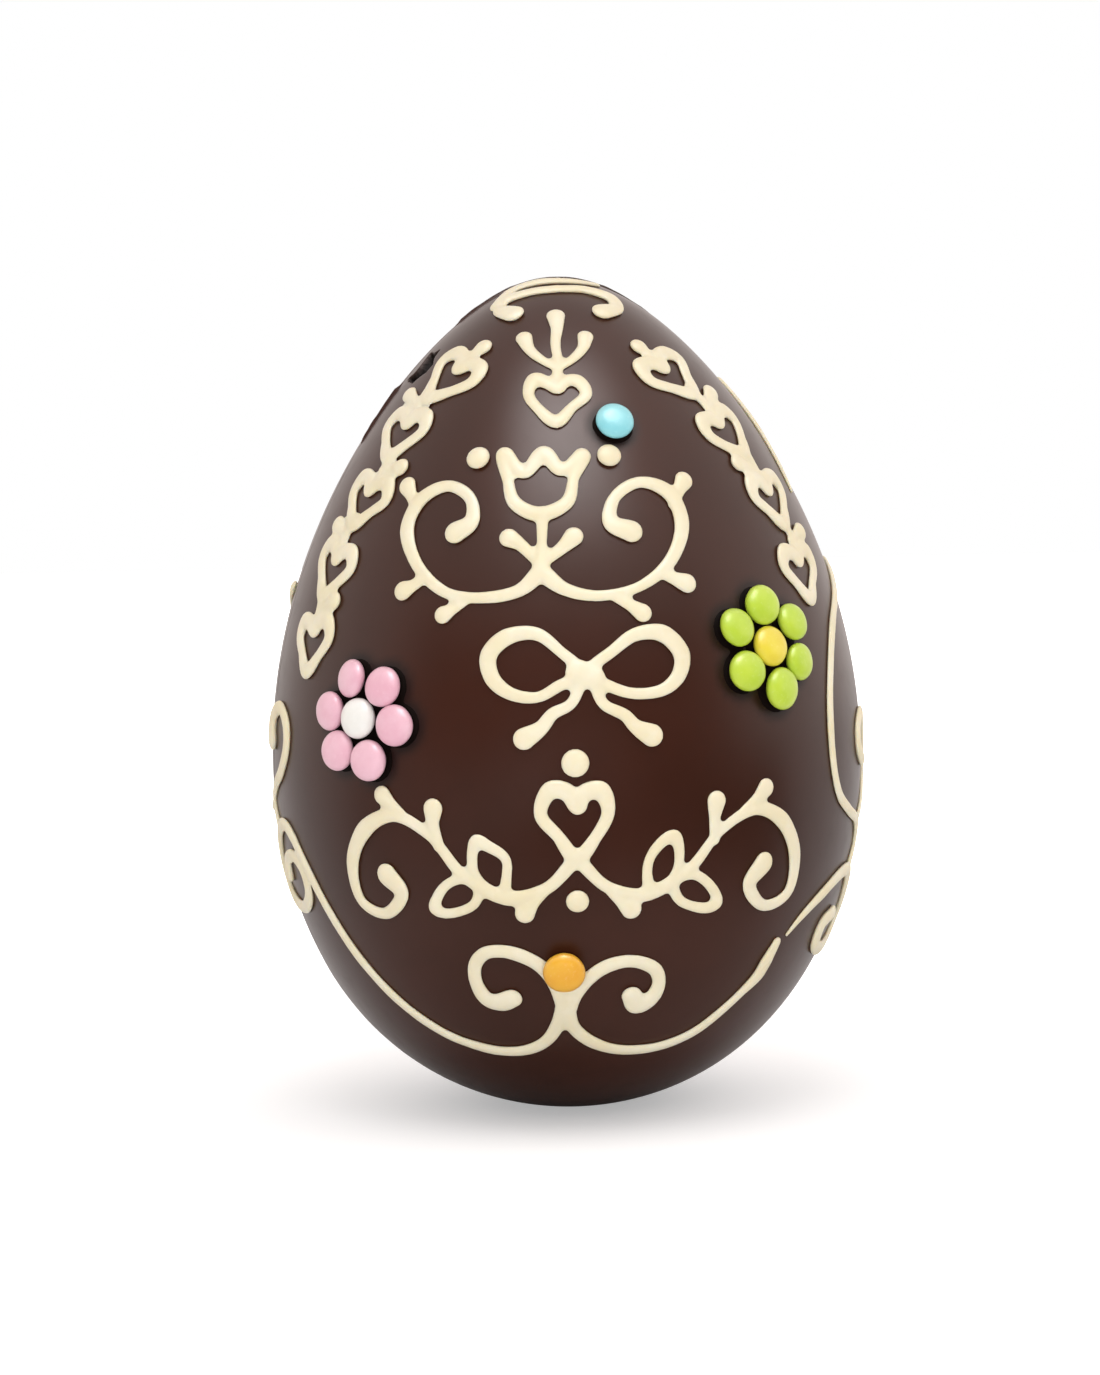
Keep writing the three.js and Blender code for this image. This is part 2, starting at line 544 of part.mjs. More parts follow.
// A round dot of icing, squeezed out and pressed flat.
function dotSolid([anchor, u, v, width]) {
  const spot = spotBeside(anchor, u, v);
  const profile = [[0, 0], [0.5, 0], [0.42, 0.24], [0, 0.36]];
  const points = profile.map(([across, up]) => new THREE.Vector2(across * width, up * width));
  const dot = new THREE.LatheGeometry(points, 8).rotateX(Math.PI / 2);
  return toSolid(dot.applyMatrix4(frameOnEgg(spot.azimuth, spot.height, GAP)));
}

// The icing gives way where a sweet is pressed into it.
function pressedBySweets(icing) {
  return SWEETS.reduce((left, sweet, index) => (
    sweet.bed ? left.subtract(sweetSolid(sweet, index, GAP)) : left), icing);
}

function icing() {
  const meshes = Object.entries(ORNAMENTS).map(([name, strokes]) => {
    const joined = strokes.map(beadSolid).reduce((whole, bead) => whole.add(bead));
    return meshOf(name, toGeometry(soundSolid(pressedBySweets(joined))), "icing", 0.45);
  });
  DOTS.forEach((dot, i) => meshes.push(meshOf(`icing_dot_${i + 1}`, toGeometry(dotSolid(dot)), "icing", 0.45)));
  return meshes;
}

// ---- The whole ---------------------------------------------------------------------------------

function meshOf(name, geometry, colour, roughness) {
  const material = new THREE.MeshStandardMaterial({ color: COLOURS[colour], roughness, metalness: 0 });
  const mesh = new THREE.Mesh(geometry, material);
  mesh.name = name;
  return mesh;
}

const chocolateEgg = new THREE.Group();
chocolateEgg.add(meshOf("egg_body", toGeometry(eggSolid()), "chocolate", 0.3));
SWEETS.forEach((sweet, index) => {
  chocolateEgg.add(meshOf(sweet.name, toGeometry(sweetSolid(sweet, index)), sweet.colour, 0.25));
});
chocolateEgg.add(...icing());

export default chocolateEgg;
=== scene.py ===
"""A large moulded chocolate egg, dressed over its solids: smooth tempered chocolate with a mould seam,
piped icing and sugar-coated sweets. Sizes below are millimetres, and meshes are made in metres.
+Z is up, the front faces -Y, and azimuth 0 is the front and grows towards +X."""

import math

import bmesh
import bpy
import numpy as np
from mathutils import Matrix, Vector, noise


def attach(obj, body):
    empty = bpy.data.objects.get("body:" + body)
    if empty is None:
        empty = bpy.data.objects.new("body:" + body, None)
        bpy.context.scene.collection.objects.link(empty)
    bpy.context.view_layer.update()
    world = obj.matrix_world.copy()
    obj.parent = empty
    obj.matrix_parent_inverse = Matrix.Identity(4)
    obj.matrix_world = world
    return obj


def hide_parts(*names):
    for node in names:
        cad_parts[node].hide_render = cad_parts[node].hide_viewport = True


MM = 0.001

# ---- The egg's form ----

EGG_HEIGHT = 280.0
EGG_MIDDLE = 139.0  # height where the plain ellipse is widest
EGG_HALF_WIDTH = 99.2
EGG_HALF_LENGTH = EGG_HEIGHT - EGG_MIDDLE  # the blunt end is cut off flat at height 0
EGG_TAPER = (1, -0.158, -0.045, -0.06)  # narrows the upper half and fills the lower one
SLOPE_REACH = 0.05  # how far above and below a point the slope is measured

SEAM_AZIMUTH = -78.5  # the half shells meet here and on the far side
FLASH_HEIGHT = 1.0
FLASH_SPANS = ((226, 245), (265, 280))  # heights where a thin fin is left standing on the seam
CHIP = {"azimuth": -64.9, "height": 250.6, "depth": 4.0}
CHIP_OUTLINE = ((-8, -4.6), (-3.4, -6.4), (0.5, -7), (2.3, -4.8), (4.8, -2.3), (5.2, 1.1), (3, 3),
                (1.8, 4.8), (0.9, 7.9), (-1.4, 6.4), (-6, 7), (-5.6, 4), (-4.9, 0.6), (-5.6, -2.6))

SWEET_DIAMETER = 13.05
SWEET_THICKNESS = 6.4
SWEET_TILT = 4.0  # degrees, at most, as each one is pressed on by hand
GAP = 0.3  # the solids' clear space under a bead or a sweet, which is closed here


def egg_radius(height):
    """The egg's half width at a height."""
    t = np.clip((height - EGG_MIDDLE) / EGG_HALF_LENGTH, -1, 1)
    taper = sum(factor * t**power for power, factor in enumerate(EGG_TAPER))
    return EGG_HALF_WIDTH * np.sqrt(1 - t * t) * taper


# How far the egg's side has climbed from the foot at each of these heights.
CLIMB_HEIGHTS = np.linspace(0, EGG_HEIGHT, 1121)
CLIMB_STEPS = np.hypot(np.diff(CLIMB_HEIGHTS), np.diff(egg_radius(CLIMB_HEIGHTS)))
CLIMB = np.concatenate([[0], np.cumsum(CLIMB_STEPS)])


def climb_to(height):
    return np.interp(height, CLIMB_HEIGHTS, CLIMB)


def height_after(climb):
    return np.interp(climb, CLIMB, CLIMB_HEIGHTS)


def on_egg(azimuth, height, lift=0.0):
    """Points and outward normals on the egg, as rows, for arrays of azimuths and heights."""
    rows = (np.atleast_1d(np.asarray(values, float)) for values in (azimuth, height, lift))
    azimuth, height, lift = np.broadcast_arrays(*rows)
    angle = np.radians(azimuth)
    low, high = np.maximum(height - SLOPE_REACH, 0), np.minimum(height + SLOPE_REACH, EGG_HEIGHT - 1e-4)
    slope = (egg_radius(high) - egg_radius(low)) / (high - low)
    normal = np.stack([np.sin(angle), -np.cos(angle), -slope], axis=1)
    normal /= np.linalg.norm(normal, axis=1, keepdims=True)
    radius = egg_radius(height)
    point = np.stack([radius * np.sin(angle), -radius * np.cos(angle), height], axis=1)
    return point + normal * lift[:, None], normal


def azimuths_of(points):
    return np.degrees(np.arctan2(points[:, 0], -points[:, 1]))


def place_on_egg(azimuth, height, lift=0.0):
    """A matrix in millimetres: X runs round the egg, Y climbs it, Z stands off it."""
    point, normal = on_egg(azimuth, height, lift)
    angle = math.radians(azimuth)
    stand, around = Vector(normal[0]), Vector((math.cos(angle), math.sin(angle), 0))
    up = stand.cross(around)
    place = Matrix((around, up, stand)).transposed().to_4x4()
    place.translation = Vector(point[0])
    return place


TIP_RADIUS = 12  # azimuths near the tip are counted as on a circle of this radius at least


def spot_beside(anchor, u, v):
    """(azimuth, height) at u and v millimetres round and up from an anchor, along its turned axes."""
    azimuth, height = anchor["azimuth"], anchor["height"]
    turn = math.radians(anchor.get("turn", 0))
    along = u * math.cos(turn) - v * math.sin(turn)
    climb = u * math.sin(turn) + v * math.cos(turn)
    z = float(height_after(climb_to(height) + climb))
    return azimuth + math.degrees(along / max(float(egg_radius(z)), TIP_RADIUS)), z


# ---- Where the sweets sit ----

# Each petal: distance and direction from the middle, lean round and lean up in degrees, size.
FLOWERS = (
    {"petal": "pink", "middle": "white", "azimuth": -40.2, "height": 137.7,
     "petals": ((13.2, 109, -9, 5, 0.95), (13.6, 48, 0, 0, 1), (14.6, -7, 0, 0, 1.02),
                (13.8, -70, 6, 0, 1.02), (13.6, -130, 0, 0, 1), (13.2, 172, -4, 0, 0.98))},
    {"petal": "green", "middle": "yellow", "azimuth": 41.4, "height": 157.6,
     "petals": ((13.3, 90, -9, 0, 0.99), (14.5, 30, 2, 7, 0.94), (13.9, -24, 2, -7, 0.93),
                (13.8, -80, 4, 0, 1.05), (13.1, -146, 0, 0, 1), (13.7, 151, 0, 5, 0.97))},
)
# A sweet with a bed lies on icing of that height, and the others are stuck to the shell.
SINGLE_SWEETS = (
    {"name": "sweet_blue", "colour": "blue", "azimuth": 14.9, "height": 229.3, "size": 0.95},
    {"name": "sweet_orange", "colour": "orange", "azimuth": -1.3, "height": 59, "bed": 1.2, "size": 1.04},
    {"name": "sweet_back", "colour": "orange", "azimuth": 180, "height": 58, "bed": 1.2},
)


def all_sweets():
    """Every sweet's name, colour, place, lean and size."""
    sweets = []
    for flower in FLOWERS:
        sweets.append({"name": f"sweet_{flower['middle']}", "colour": flower["middle"],
                       "azimuth": flower["azimuth"], "height": flower["height"]})
        for i, (distance, direction, around, up, size) in enumerate(flower["petals"]):
            angle = math.radians(direction)
            azimuth, height = spot_beside(flower, distance * math.cos(angle), distance * math.sin(angle))
            sweets.append({"name": f"sweet_{flower['petal']}_{i + 1}", "colour": flower["petal"],
                           "azimuth": azimuth, "height": height, "lean": (around, up), "size": size})
    return sweets + list(SINGLE_SWEETS)


SWEETS = all_sweets()

# ---- Motifs: strokes of (u, v, width) ----


def mirrored(strokes):
    return [[(-u, v, w) for u, v, w in stroke] for stroke in strokes]


def twin(strokes):
    """The strokes and the same ones mirrored."""
    return strokes + mirrored(strokes)


def moved(strokes, u0, v0, turn=0.0):
    """The strokes turned by some degrees, then moved."""
    cos, sin = math.cos(math.radians(turn)), math.sin(math.radians(turn))
    return [[(u0 + u * cos - v * sin, v0 + u * sin + v * cos, w) for u, v, w in stroke]
            for stroke in strokes]


def bud(length, width):
    return [[(part * length, 0, wide * width) for part, wide in ((0, 0.55), (0.62, 0.66), (1, 1))]]


def loop_of(half):
    """A closed stroke out of its right half."""
    return [half + mirrored([half])[0][::-1][1:]]


def leaf(length, width, bead):
    half = ((0, 0, 1.1), (0.36, 0.25, 0.85), (0.42, 0.55, 0.85), (0.2, 0.86, 1), (0, 0.98, 1.25))
    standing = loop_of([(across * width, up * length, wide * bead) for across, up, wide in half])
    return moved(standing, 0, 0, -90)


def heart(width, height, bead):
    half = ((0, -0.5, 1.15), (0.27, -0.2, 0.8), (0.46, 0.13, 0.9), (0.34, 0.43, 1.2), (0.12, 0.4, 1.1),
            (0, 0.22, 1))
    return loop_of([(across * width, up * height, wide * bead) for across, up, wide in half])


TULIP = loop_of([(0, -8, 6.2), (8, -4.5, 5), (10.5, 4, 4), (12, 13, 6.4), (5.5, 7, 4.4), (0, 13, 6.4)])

CREST = [
    *moved(TULIP, 0, 11),
    [(0, 4, 4.6), (0.4, -7, 3.8), (0, -17, 6.6)],
    *twin([
        [(0, -17, 6.6), (7, -22.5, 5), (18, -25, 4.2), (31, -22.5, 4), (41.5, -13.5, 4.8), (45.5, -1, 6),
         (41, 9, 6), (31, 13, 4.6), (23.5, 8, 4.4), (22.5, 0, 6), (28, -3.5, 8.6)],
        *moved(bud(12.5, 7.2), 1, -13, 42),
        *moved(bud(10, 7.4), 38, -17.5, -28),
        *moved(bud(9.5, 7.2), 43, 5, 64),
        *moved(bud(10.5, 6.6), 23, -25, -34),
    ]),
]

SPRAY = [
    *moved(heart(20, 18, 5), 0, -28),
    [(0, -23, 4.6), (0.4, -13, 3.6), (0, -4, 3.8), (0, 4, 4.8), (0, 9.5, 7)],
    *twin([[(0, -15, 3.6), (4.5, -11.5, 3.6), (8.6, -6, 4.4), (10, -0.5, 6.6)]]),
]

BRACKET = [
    *twin([[(0, 2, 5.2), (10, 0, 5.4), (19, -5.5, 6.2), (21, -12, 5.8), (15.5, -14, 8.2)]]),
    [(-21.5, -9, 6.4), (-16.5, 2, 5.4), (-6, 8.2, 5.4), (5, 9.2, 4.8), (15.5, 5.5, 3)],
]

BOW = [
    [(-2.2, 0.6, 9), (2.2, -0.4, 9)],
    *twin([
        [(1, 0.5, 4.6), (8, 8, 4.2), (16, 13, 5), (25, 12.5, 6.4), (31, 6, 6.6), (30, -1, 5.6),
         (24, -5.5, 4.6), (15, -6, 4), (8, -3.5, 4.2), (1, 0.5, 4.6)],
        [(2, -2, 4.6), (5.4, -8.4, 4), (11.2, -12.4, 4.4), (15, -16.6, 5.2), (20, -19.5, 8)],
    ]),
]

BRANCH = [
    *moved(heart(23, 23, 5.6), 0, 8),
    *twin([
        [(0, -3.5, 5.4), (9, -13, 4.4), (22, -16.5, 5.8), (36, -9, 4.4), (48, 3, 4), (61, 9, 5),
         (73, 4.5, 6.4), (79.5, -7, 6), (76, -20, 4.6), (65.5, -24, 4.6), (59, -16, 6), (64, -9.5, 8.6)],
        *moved(leaf(19, 12.5, 4.4), 24, -15, 68),
        *moved(leaf(18, 12, 4.4), 31, -12, -30),
        *moved(bud(12.5, 7.6), 45, 0, 84),
        *moved(bud(12, 7.2), 56, 8, 40),
        *moved(bud(11, 7.2), 9, -13, -48),
    ]),
]

LINK_LENGTH = 27
LINK_HEART = moved(heart(23, 17.5, 5.8), 8.7, 0, -90)


def garland_link(side):
    """A garland's heart, the stem to the next one and a bud to one side."""
    return [
        *LINK_HEART,
        [(13.4, 0, 5.4), (19, side * 0.8, 4.4), (LINK_LENGTH, 0, 4.6)],
        *moved(bud(9.5, 7.2), 20, 0, side * 72),
    ]


LAST_LINK = [*LINK_HEART, *moved(bud(9, 7.2), 13.4, 0, 0)]

# ---- Where the icing goes: strokes of (azimuth, height, width) ----

HAND_SHAKE = 0.6  # how far a hand-piped point strays
WIDTH_SHAKE = 0.05  # and by what share its width does


def shake(seed):
    """A number from -1 to 1 that looks random and depends on the seed alone."""
    value = math.sin(seed * 12.9898) * 43758.5453
    return 2 * (value - math.floor(value)) - 1


def laid_at(anchor, strokes):
    """A motif's strokes laid on the egg at an anchor, by an unsteady hand."""
    laid = []
    for stroke in strokes:
        points = []
        for u, v, width in stroke:
            seed = u * 0.31 + v * 0.17 + anchor["azimuth"] * 0.01
            u_laid, v_laid = u + HAND_SHAKE * shake(seed), v + HAND_SHAKE * shake(seed + 0.5)
            azimuth, height = spot_beside(anchor, u_laid, v_laid)
            points.append((azimuth, height, width * (1 + WIDTH_SHAKE * shake(seed + 0.25))))
        laid.append(points)
    return laid


def smooth_line(points, closed=False, step=0.5):
    """A centripetal spline through the points at even steps, each sample's place among them and its run."""
    points = np.asarray(points, float)
    if closed:
        ring = np.vstack([points[-1], points, points[:2]])
    else:
        ring = np.vstack([2 * points[0] - points[1], points, 2 * points[-1] - points[-2]])
    found, places = [], []
    for i in range(len(ring) - 3):
        p0, p1, p2, p3 = ring[i:i + 4]
        t0, t1, t2 = (max(np.linalg.norm(b - a), 1e-6) ** 0.5 for a, b in ((p0, p1), (p1, p2), (p2, p3)))
        m1 = ((p1 - p0) / t0 - (p2 - p0) / (t0 + t1) + (p2 - p1) / t1) * t1
        m2 = ((p2 - p1) / t1 - (p3 - p1) / (t1 + t2) + (p3 - p2) / t2) * t1
        s = np.linspace(0, 1, 40, endpoint=False)[:, None]
        found.append((2 * s**3 - 3 * s**2 + 1) * p1 + (s**3 - 2 * s**2 + s) * m1
                     + (3 * s**2 - 2 * s**3) * p2 + (s**3 - s**2) * m2)
        places.append(i + s[:, 0])
    found, places = np.vstack(found + [ring[-2]]), np.concatenate(places + [[len(ring) - 3]])
    run = np.concatenate([[0], np.cumsum(np.linalg.norm(np.diff(found, axis=0), axis=1))])
    even = np.linspace(0, run[-1], max(4, int(run[-1] / step) + 1))
    line = np.stack([np.interp(even, run, found[:, k]) for k in range(3)], axis=1)
    return line, np.interp(even, run, places), even


def garland_along(guide, links):
    """A chain of links along a smooth line through the guide's (azimuth, height) spots."""
    line, _, run = smooth_line([on_egg(azimuth, height)[0][0] for azimuth, height in guide])
    strokes = []
    for i in range(links):
        at = run[-1] * i / links
        here, ahead = (np.array([np.interp(at + d, run, line[:, k]) for k in range(3)]) for d in (0, 0.5))
        azimuth = math.degrees(math.atan2(here[0], -here[1]))
        axes = place_on_egg(azimuth, here[2]).to_3x3().transposed() @ Vector(ahead - here)
        turn = math.degrees(math.atan2(axes.y, axes.x))
        motif = LAST_LINK if i == links - 1 else garland_link(1 if i % 2 else -1)
        strokes += laid_at({"azimuth": azimuth, "height": here[2], "turn": turn}, motif)
    return strokes


LEFT_CURL = [(-13, 48.2, 7.5), (-15.5, 46.8, 8), (-18.6, 47.4, 6.5), (-20.4, 53, 5.4), (-19.8, 59.5, 5.2),
             (-17.3, 63.4, 5.2), (-13.5, 64.2, 5.4), (-9.5, 62.5, 5.6), (-5.9, 58.9, 5.6),
             (-3.2, 52.6, 5.6), (-1.6, 45.5, 6.4)]
LEFT_ARM = [(-1.6, 45.5, 6.4), (-3.2, 39, 5.4), (-6.4, 32.8, 5.2), (-11.5, 29.3, 5.2), (-18.4, 28.3, 5),
            (-26, 29.9, 4.8), (-33.2, 33.3, 4.6), (-41.2, 41, 4.6), (-47.1, 50.2, 4.6), (-52.3, 61.4, 4.6),
            (-56.8, 73.3, 4.6), (-61.6, 86, 4.8), (-66, 95.4, 5)]
LEFT_SPIRAL = [(-66, 95.4, 5), (-69, 98.8, 5.2), (-72.6, 99.4, 5.4), (-76, 96.6, 5.2), (-79, 91, 5),
               (-80.8, 84.6, 5), (-80.2, 78, 5), (-75, 72.6, 5.4), (-68.7, 72.3, 5.4), (-64, 77.5, 5.4),
               (-63.8, 84.6, 5.2), (-67.8, 89.4, 5.2), (-73, 87.4, 5.8), (-74.4, 82.6, 7)]
LEFT_HOOK = [(-76, 98, 4), (-79, 106, 3.4), (-75, 112.5, 4.4), (-70.4, 117.2, 5), (-66.8, 125, 5.2),
             (-66.8, 132.6, 5.2), (-71.2, 138.2, 5.4), (-76.6, 135.6, 6.6), (-77.4, 130.4, 7.6),
             (-76.8, 127, 7.8)]
LEFT_BOW = [(-79, 106, 3.4), (-87, 103, 3.8), (-97, 105, 3.6), (-105, 113, 3.4), (-109, 128, 3.4),
            (-108, 145, 3.4), (-103, 160, 3.8), (-95, 171, 4.4), (-87, 177, 6.2)]
RIGHT_CURL = [(13.2, 48.4, 7.4), (14.8, 45, 8.2), (17.6, 46.6, 6.5), (19, 51.4, 5.4), (17.9, 56.4, 5.2),
              (14.6, 59.4, 5.2), (10.9, 60.1, 5.4), (6.9, 58.4, 5.6), (3.5, 54.5, 5.6), (0.7, 49, 5.8),
              (-1, 43.6, 6.4)]
RIGHT_ARM = [(-1, 43.6, 6.4), (0.2, 38, 5.6), (3.9, 32.9, 5.4), (10, 29.2, 5.2), (17.3, 28, 5),
             (24.7, 28.8, 4.8), (32.4, 32.4, 4.6), (37.9, 38.4, 4.4), (42.7, 45.4, 4.4), (45.6, 50.5, 6),
             (46.6, 55, 6.2), (48.2, 61, 4.4)]
RIGHT_SPIRAL = [(51.4, 63, 1.8), (54.8, 68.2, 3.4), (61.5, 74.6, 4.8), (70.5, 79.8, 5.6), (77, 79.3, 5.8),
               (81.5, 72, 5.4), (83.5, 63, 5.2), (80, 55.8, 5.4), (73, 53.8, 6), (67, 57.6, 6.4),
               (66.8, 63.4, 6.4), (71.5, 66, 7)]
RIGHT_BOW = [(76, 79.5, 4.2), (80, 88, 3.6), (77, 96, 4.2), (69.5, 101, 4.4), (63, 107.5, 4.2),
             (60, 118, 4.2), (59.6, 134, 4.2), (62.4, 149, 4.2), (68.5, 163, 4.4), (79, 173, 4.6),
             (90, 181, 5), (100, 182, 6.5)]
RIGHT_HOOK = [(77, 96, 3.6), (83.5, 101, 3.8), (88.5, 109, 4.2), (89.5, 121, 4.4), (86, 130.5, 4.6),
              (79.5, 131.5, 5), (75.4, 127, 5.4), (75.6, 121, 5.6), (79.4, 116.6, 6)]
RIGHT_TAIL = [(97, 244, 5.4), (90, 235, 4.8), (84, 224, 3.8), (79.5, 214, 3), (77.5, 207, 2)]


def at_back(strokes, flip):
    """The strokes on the far side of the egg, mirrored where flip is -1."""
    return [[(flip * azimuth + 180, height, width) for azimuth, height, width in stroke]
            for stroke in strokes]


BACK_HALF = [LEFT_CURL, LEFT_ARM, LEFT_SPIRAL]
GARLAND_LEFT = ((-59, 152), (-59, 172), (-56, 192), (-53, 212), (-50, 231), (-39, 248), (-26, 253))
GARLAND_RIGHT = ((60, 172), (60, 188), (59, 203), (56, 218), (50, 234), (40, 248), (28, 254))
CREST_FRONT = {"azimuth": -4.5, "height": 199}
CREST_BACK = {"azimuth": 180, "height": 176}
BRANCH_FRONT = {"azimuth": 1.5, "height": 98}

ORNAMENTS = {
    "icing_scroll_front": [LEFT_CURL, LEFT_ARM, LEFT_SPIRAL, LEFT_HOOK, LEFT_BOW, RIGHT_CURL, RIGHT_ARM],
    "icing_scroll_right": [RIGHT_SPIRAL, RIGHT_BOW, RIGHT_HOOK],
    "icing_scroll_back": at_back(BACK_HALF, 1) + at_back(BACK_HALF, -1),
    "icing_tail_right": [RIGHT_TAIL],
    "icing_garland_left": garland_along(GARLAND_LEFT, 5),
    "icing_garland_right": garland_along(GARLAND_RIGHT, 4),
    "icing_bracket_front": laid_at({"azimuth": 0, "height": 274.5}, BRACKET),
    "icing_bracket_back": laid_at({"azimuth": 180, "height": 272.5}, BRACKET),
    "icing_spray": laid_at({"azimuth": -1, "height": 259}, SPRAY),
    "icing_crest_front": laid_at(CREST_FRONT, CREST),
    "icing_crest_back": laid_at(CREST_BACK, CREST),
    "icing_bow": laid_at({"azimuth": 4, "height": 151.5}, BOW),
    "icing_branch": laid_at(BRANCH_FRONT, BRANCH),
}

# Anchor, u, v and width.
DOTS = (
    (CREST_FRONT, -21, 23, 8), (CREST_FRONT, 21, 23, 8),
    (CREST_BACK, -21, 23, 8), (CREST_BACK, 21, 23, 8), (CREST_BACK, 0, -28, 7.5), (CREST_BACK, 0, -38, 6.5),
    (BRANCH_FRONT, 0, 26.5, 9), (BRANCH_FRONT, 0, -17.5, 7.5),
)

# ---- Making meshes ----


def new_object(name, data):
    obj = bpy.data.objects.new(name, data)
    bpy.context.scene.collection.objects.link(obj)
    return obj


def mesh_object(name, vertices, faces, material, smooth=True):
    mesh = bpy.data.meshes.new(name)
    mesh.from_pydata([tuple(v) for v in np.asarray(vertices) * MM], [], faces)
    mesh.validate()
    mesh.update()
    mesh.polygons.foreach_set("use_smooth", [smooth] * len(mesh.polygons))
    mesh.materials.append(material)
    return new_object(name, mesh)


def store(mesh, name, kind, values):
    """Keeps a number (FLOAT) or a vector (FLOAT_VECTOR) for every point of the mesh."""
    field = "value" if kind == "FLOAT" else "vector"
    mesh.attributes.new(name, kind, "POINT").data.foreach_set(field, values.ravel())


def revolved_faces(rows, columns):
    """Quads over rows joined round. They face outwards where rows climb and columns turn left."""
    faces = []
    for i in range(rows - 1):
        for j in range(columns):
            k = (j + 1) % columns
            faces.append((i * columns + j, i * columns + k, (i + 1) * columns + k, (i + 1) * columns + j))
    return faces


def with_poles(points, faces, rows, columns, low, high):
    """Closes both ends of a revolved skin with a fan."""
    points = np.vstack([points, low, high])
    first, last = len(points) - 2, len(points) - 1
    for j in range(columns):
        k = (j + 1) % columns
        faces.append((first, k, j))
        faces.append((last, (rows - 1) * columns + j, (rows - 1) * columns + k))
    return points, faces


def fine_noise(points, scale, seed=0.0):
    """Smooth noise from -1 to 1 at points in millimetres, with lumps about scale across."""
    shift = Vector((seed * 17.3, seed * 5.9, seed * 11.1))
    return np.array([noise.noise(Vector(p) / scale + shift) for p in points])


def soft_step(value, low, high):
    """0 below low, 1 above high, eased between."""
    t = np.clip((value - low) / (high - low), 0, 1)
    return t * t * (3 - 2 * t)


def settle(obj, node_slot, *nodes):
    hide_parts(*nodes)
    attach(obj, "root")


# ---- The moulded egg ----

SEAMS = ((SEAM_AZIMUTH + 180) % 360, SEAM_AZIMUTH % 360)
COLUMN_STEP = 1.5  # degrees between the egg's columns of points, away from the seams
SEAM_BAND = 1.3  # degrees to each side of a seam where the columns are close together
SEAM_COLUMNS = 23
ROW_STEP = 1.8  # between the egg's rows of points


def egg_azimuths():
    """Columns round the egg, close together beside the two seams."""
    near, far = SEAMS
    plain = [a for a in np.arange(0, 360, COLUMN_STEP) if min(abs(a - near), abs(a - far)) > SEAM_BAND + 0.1]
    beside = [seam + d for seam in SEAMS for d in np.linspace(-SEAM_BAND, SEAM_BAND, SEAM_COLUMNS)]
    return np.array(sorted(plain + beside))


def egg_heights():
    """Rows up the egg, evenly spaced along its side."""
    total = CLIMB[-1]
    return height_after(np.linspace(0, total, int(total / ROW_STEP))[:-1])


def beside_outline(x, y, outline):
    """Distance from points to a closed outline, negative inside it."""
    distance = np.full(x.shape, 1e9)
    inside = np.zeros(x.shape, bool)
    for (x0, y0), (x1, y1) in zip(outline, outline[1:] + outline[:1]):
        dx, dy = x1 - x0, y1 - y0
        along = np.clip(((x - x0) * dx + (y - y0) * dy) / (dx**2 + dy**2), 0, 1)
        distance = np.minimum(distance, np.hypot(x - x0 - along * dx, y - y0 - along * dy))
        crosses = (y0 > y) != (y1 > y)
        inside ^= crosses & (x < dx * (y - y0) / (dy or 1e-9) + x0)
    return np.where(inside, -distance, distance)


SEAM_LINE_HEIGHT = 0.16
SEAM_LINE_REACH = 0.32  # how far to each side the raised line fades
HALF_SHELL_STEP = 0.07  # how proud one half shell stands beside the other
HALF_SHELL_REACH = 9  # and over what distance that evens out
FLASH_EDGE = (0.28, 0.62)  # from the seam's plane, where the fin's side starts and ends
FLASH_OUTSIDE, FLASH_INSIDE = 0.6, 1.6  # how far beyond a span's end and within it the fin eases off


def seam_relief(points):
    """The raised line where the half shells meet, and the fin of flash left on it near the tip."""
    height = points[:, 2]
    angle = math.radians(SEAM_AZIMUTH)
    across = points @ np.array([math.cos(angle), math.sin(angle), 0])
    levels = points * [0, 0, 1]
    ragged = fine_noise(levels, 3.1, 2) * 0.28 + fine_noise(levels, 1.2, 5) * 0.16
    fin = np.zeros(len(points))
    for low, high in FLASH_SPANS:
        ends = soft_step(height, low - FLASH_OUTSIDE, low + FLASH_INSIDE)
        if high < EGG_HEIGHT:
            ends = ends * (1 - soft_step(height, high - FLASH_INSIDE, high + FLASH_OUTSIDE))
        fin = np.maximum(fin, ends * FLASH_HEIGHT * np.clip(0.82 + ragged, 0.3, 1))
    fin *= 1 - soft_step(np.abs(across), *FLASH_EDGE)
    uneven = 0.75 + 0.5 * fine_noise(points, 9, 3)
    line = SEAM_LINE_HEIGHT * np.exp(-((across / SEAM_LINE_REACH) ** 2)) * uneven
    fading = np.exp(-((np.maximum(across, 0) / HALF_SHELL_REACH) ** 2))
    return np.maximum(fin, line) + HALF_SHELL_STEP * soft_step(across, -0.25, 0.25) * fading


CHIP_SIDE = 8  # points further in or out than this are on another part of the egg
CHIP_REACH = 11.5  # faces this near the chip's centre are split finely
CHIP_CUTS = 4
CHIP_WALL = (-0.55, 0.05)  # from the outline, where the flake is full deep and where it ends
CHIP_FACE = (-0.25, 0.2)  # likewise for the face of the break: matt, and painted near-black as the shade inside the pit


def chip_relief(points):
    """How deep the chipped flake is at each point, and 1 on the face of the break, which is matt and painted
    near-black as shade in the pit.
    """
    place = place_on_egg(CHIP["azimuth"], CHIP["height"]).inverted()
    local = np.array([place @ Vector(p) for p in points])
    edge = beside_outline(local[:, 0], local[:, 1], CHIP_OUTLINE) + 0.35 * fine_noise(points, 1.4, 7)
    edge = np.where(np.abs(local[:, 2]) < CHIP_SIDE, edge, 20)
    floor = 0.8 + 0.14 * fine_noise(points, 2.6, 8) + 0.08 * fine_noise(points, 0.8, 9)
    depth = CHIP["depth"] * floor * (1 - soft_step(edge, *CHIP_WALL))
    return depth, 1 - soft_step(edge, *CHIP_FACE)


SWEET_SHADE_REACH = (7, 11)  # from a sweet's centre, where the painted shade and duller finish round it start to fade and end
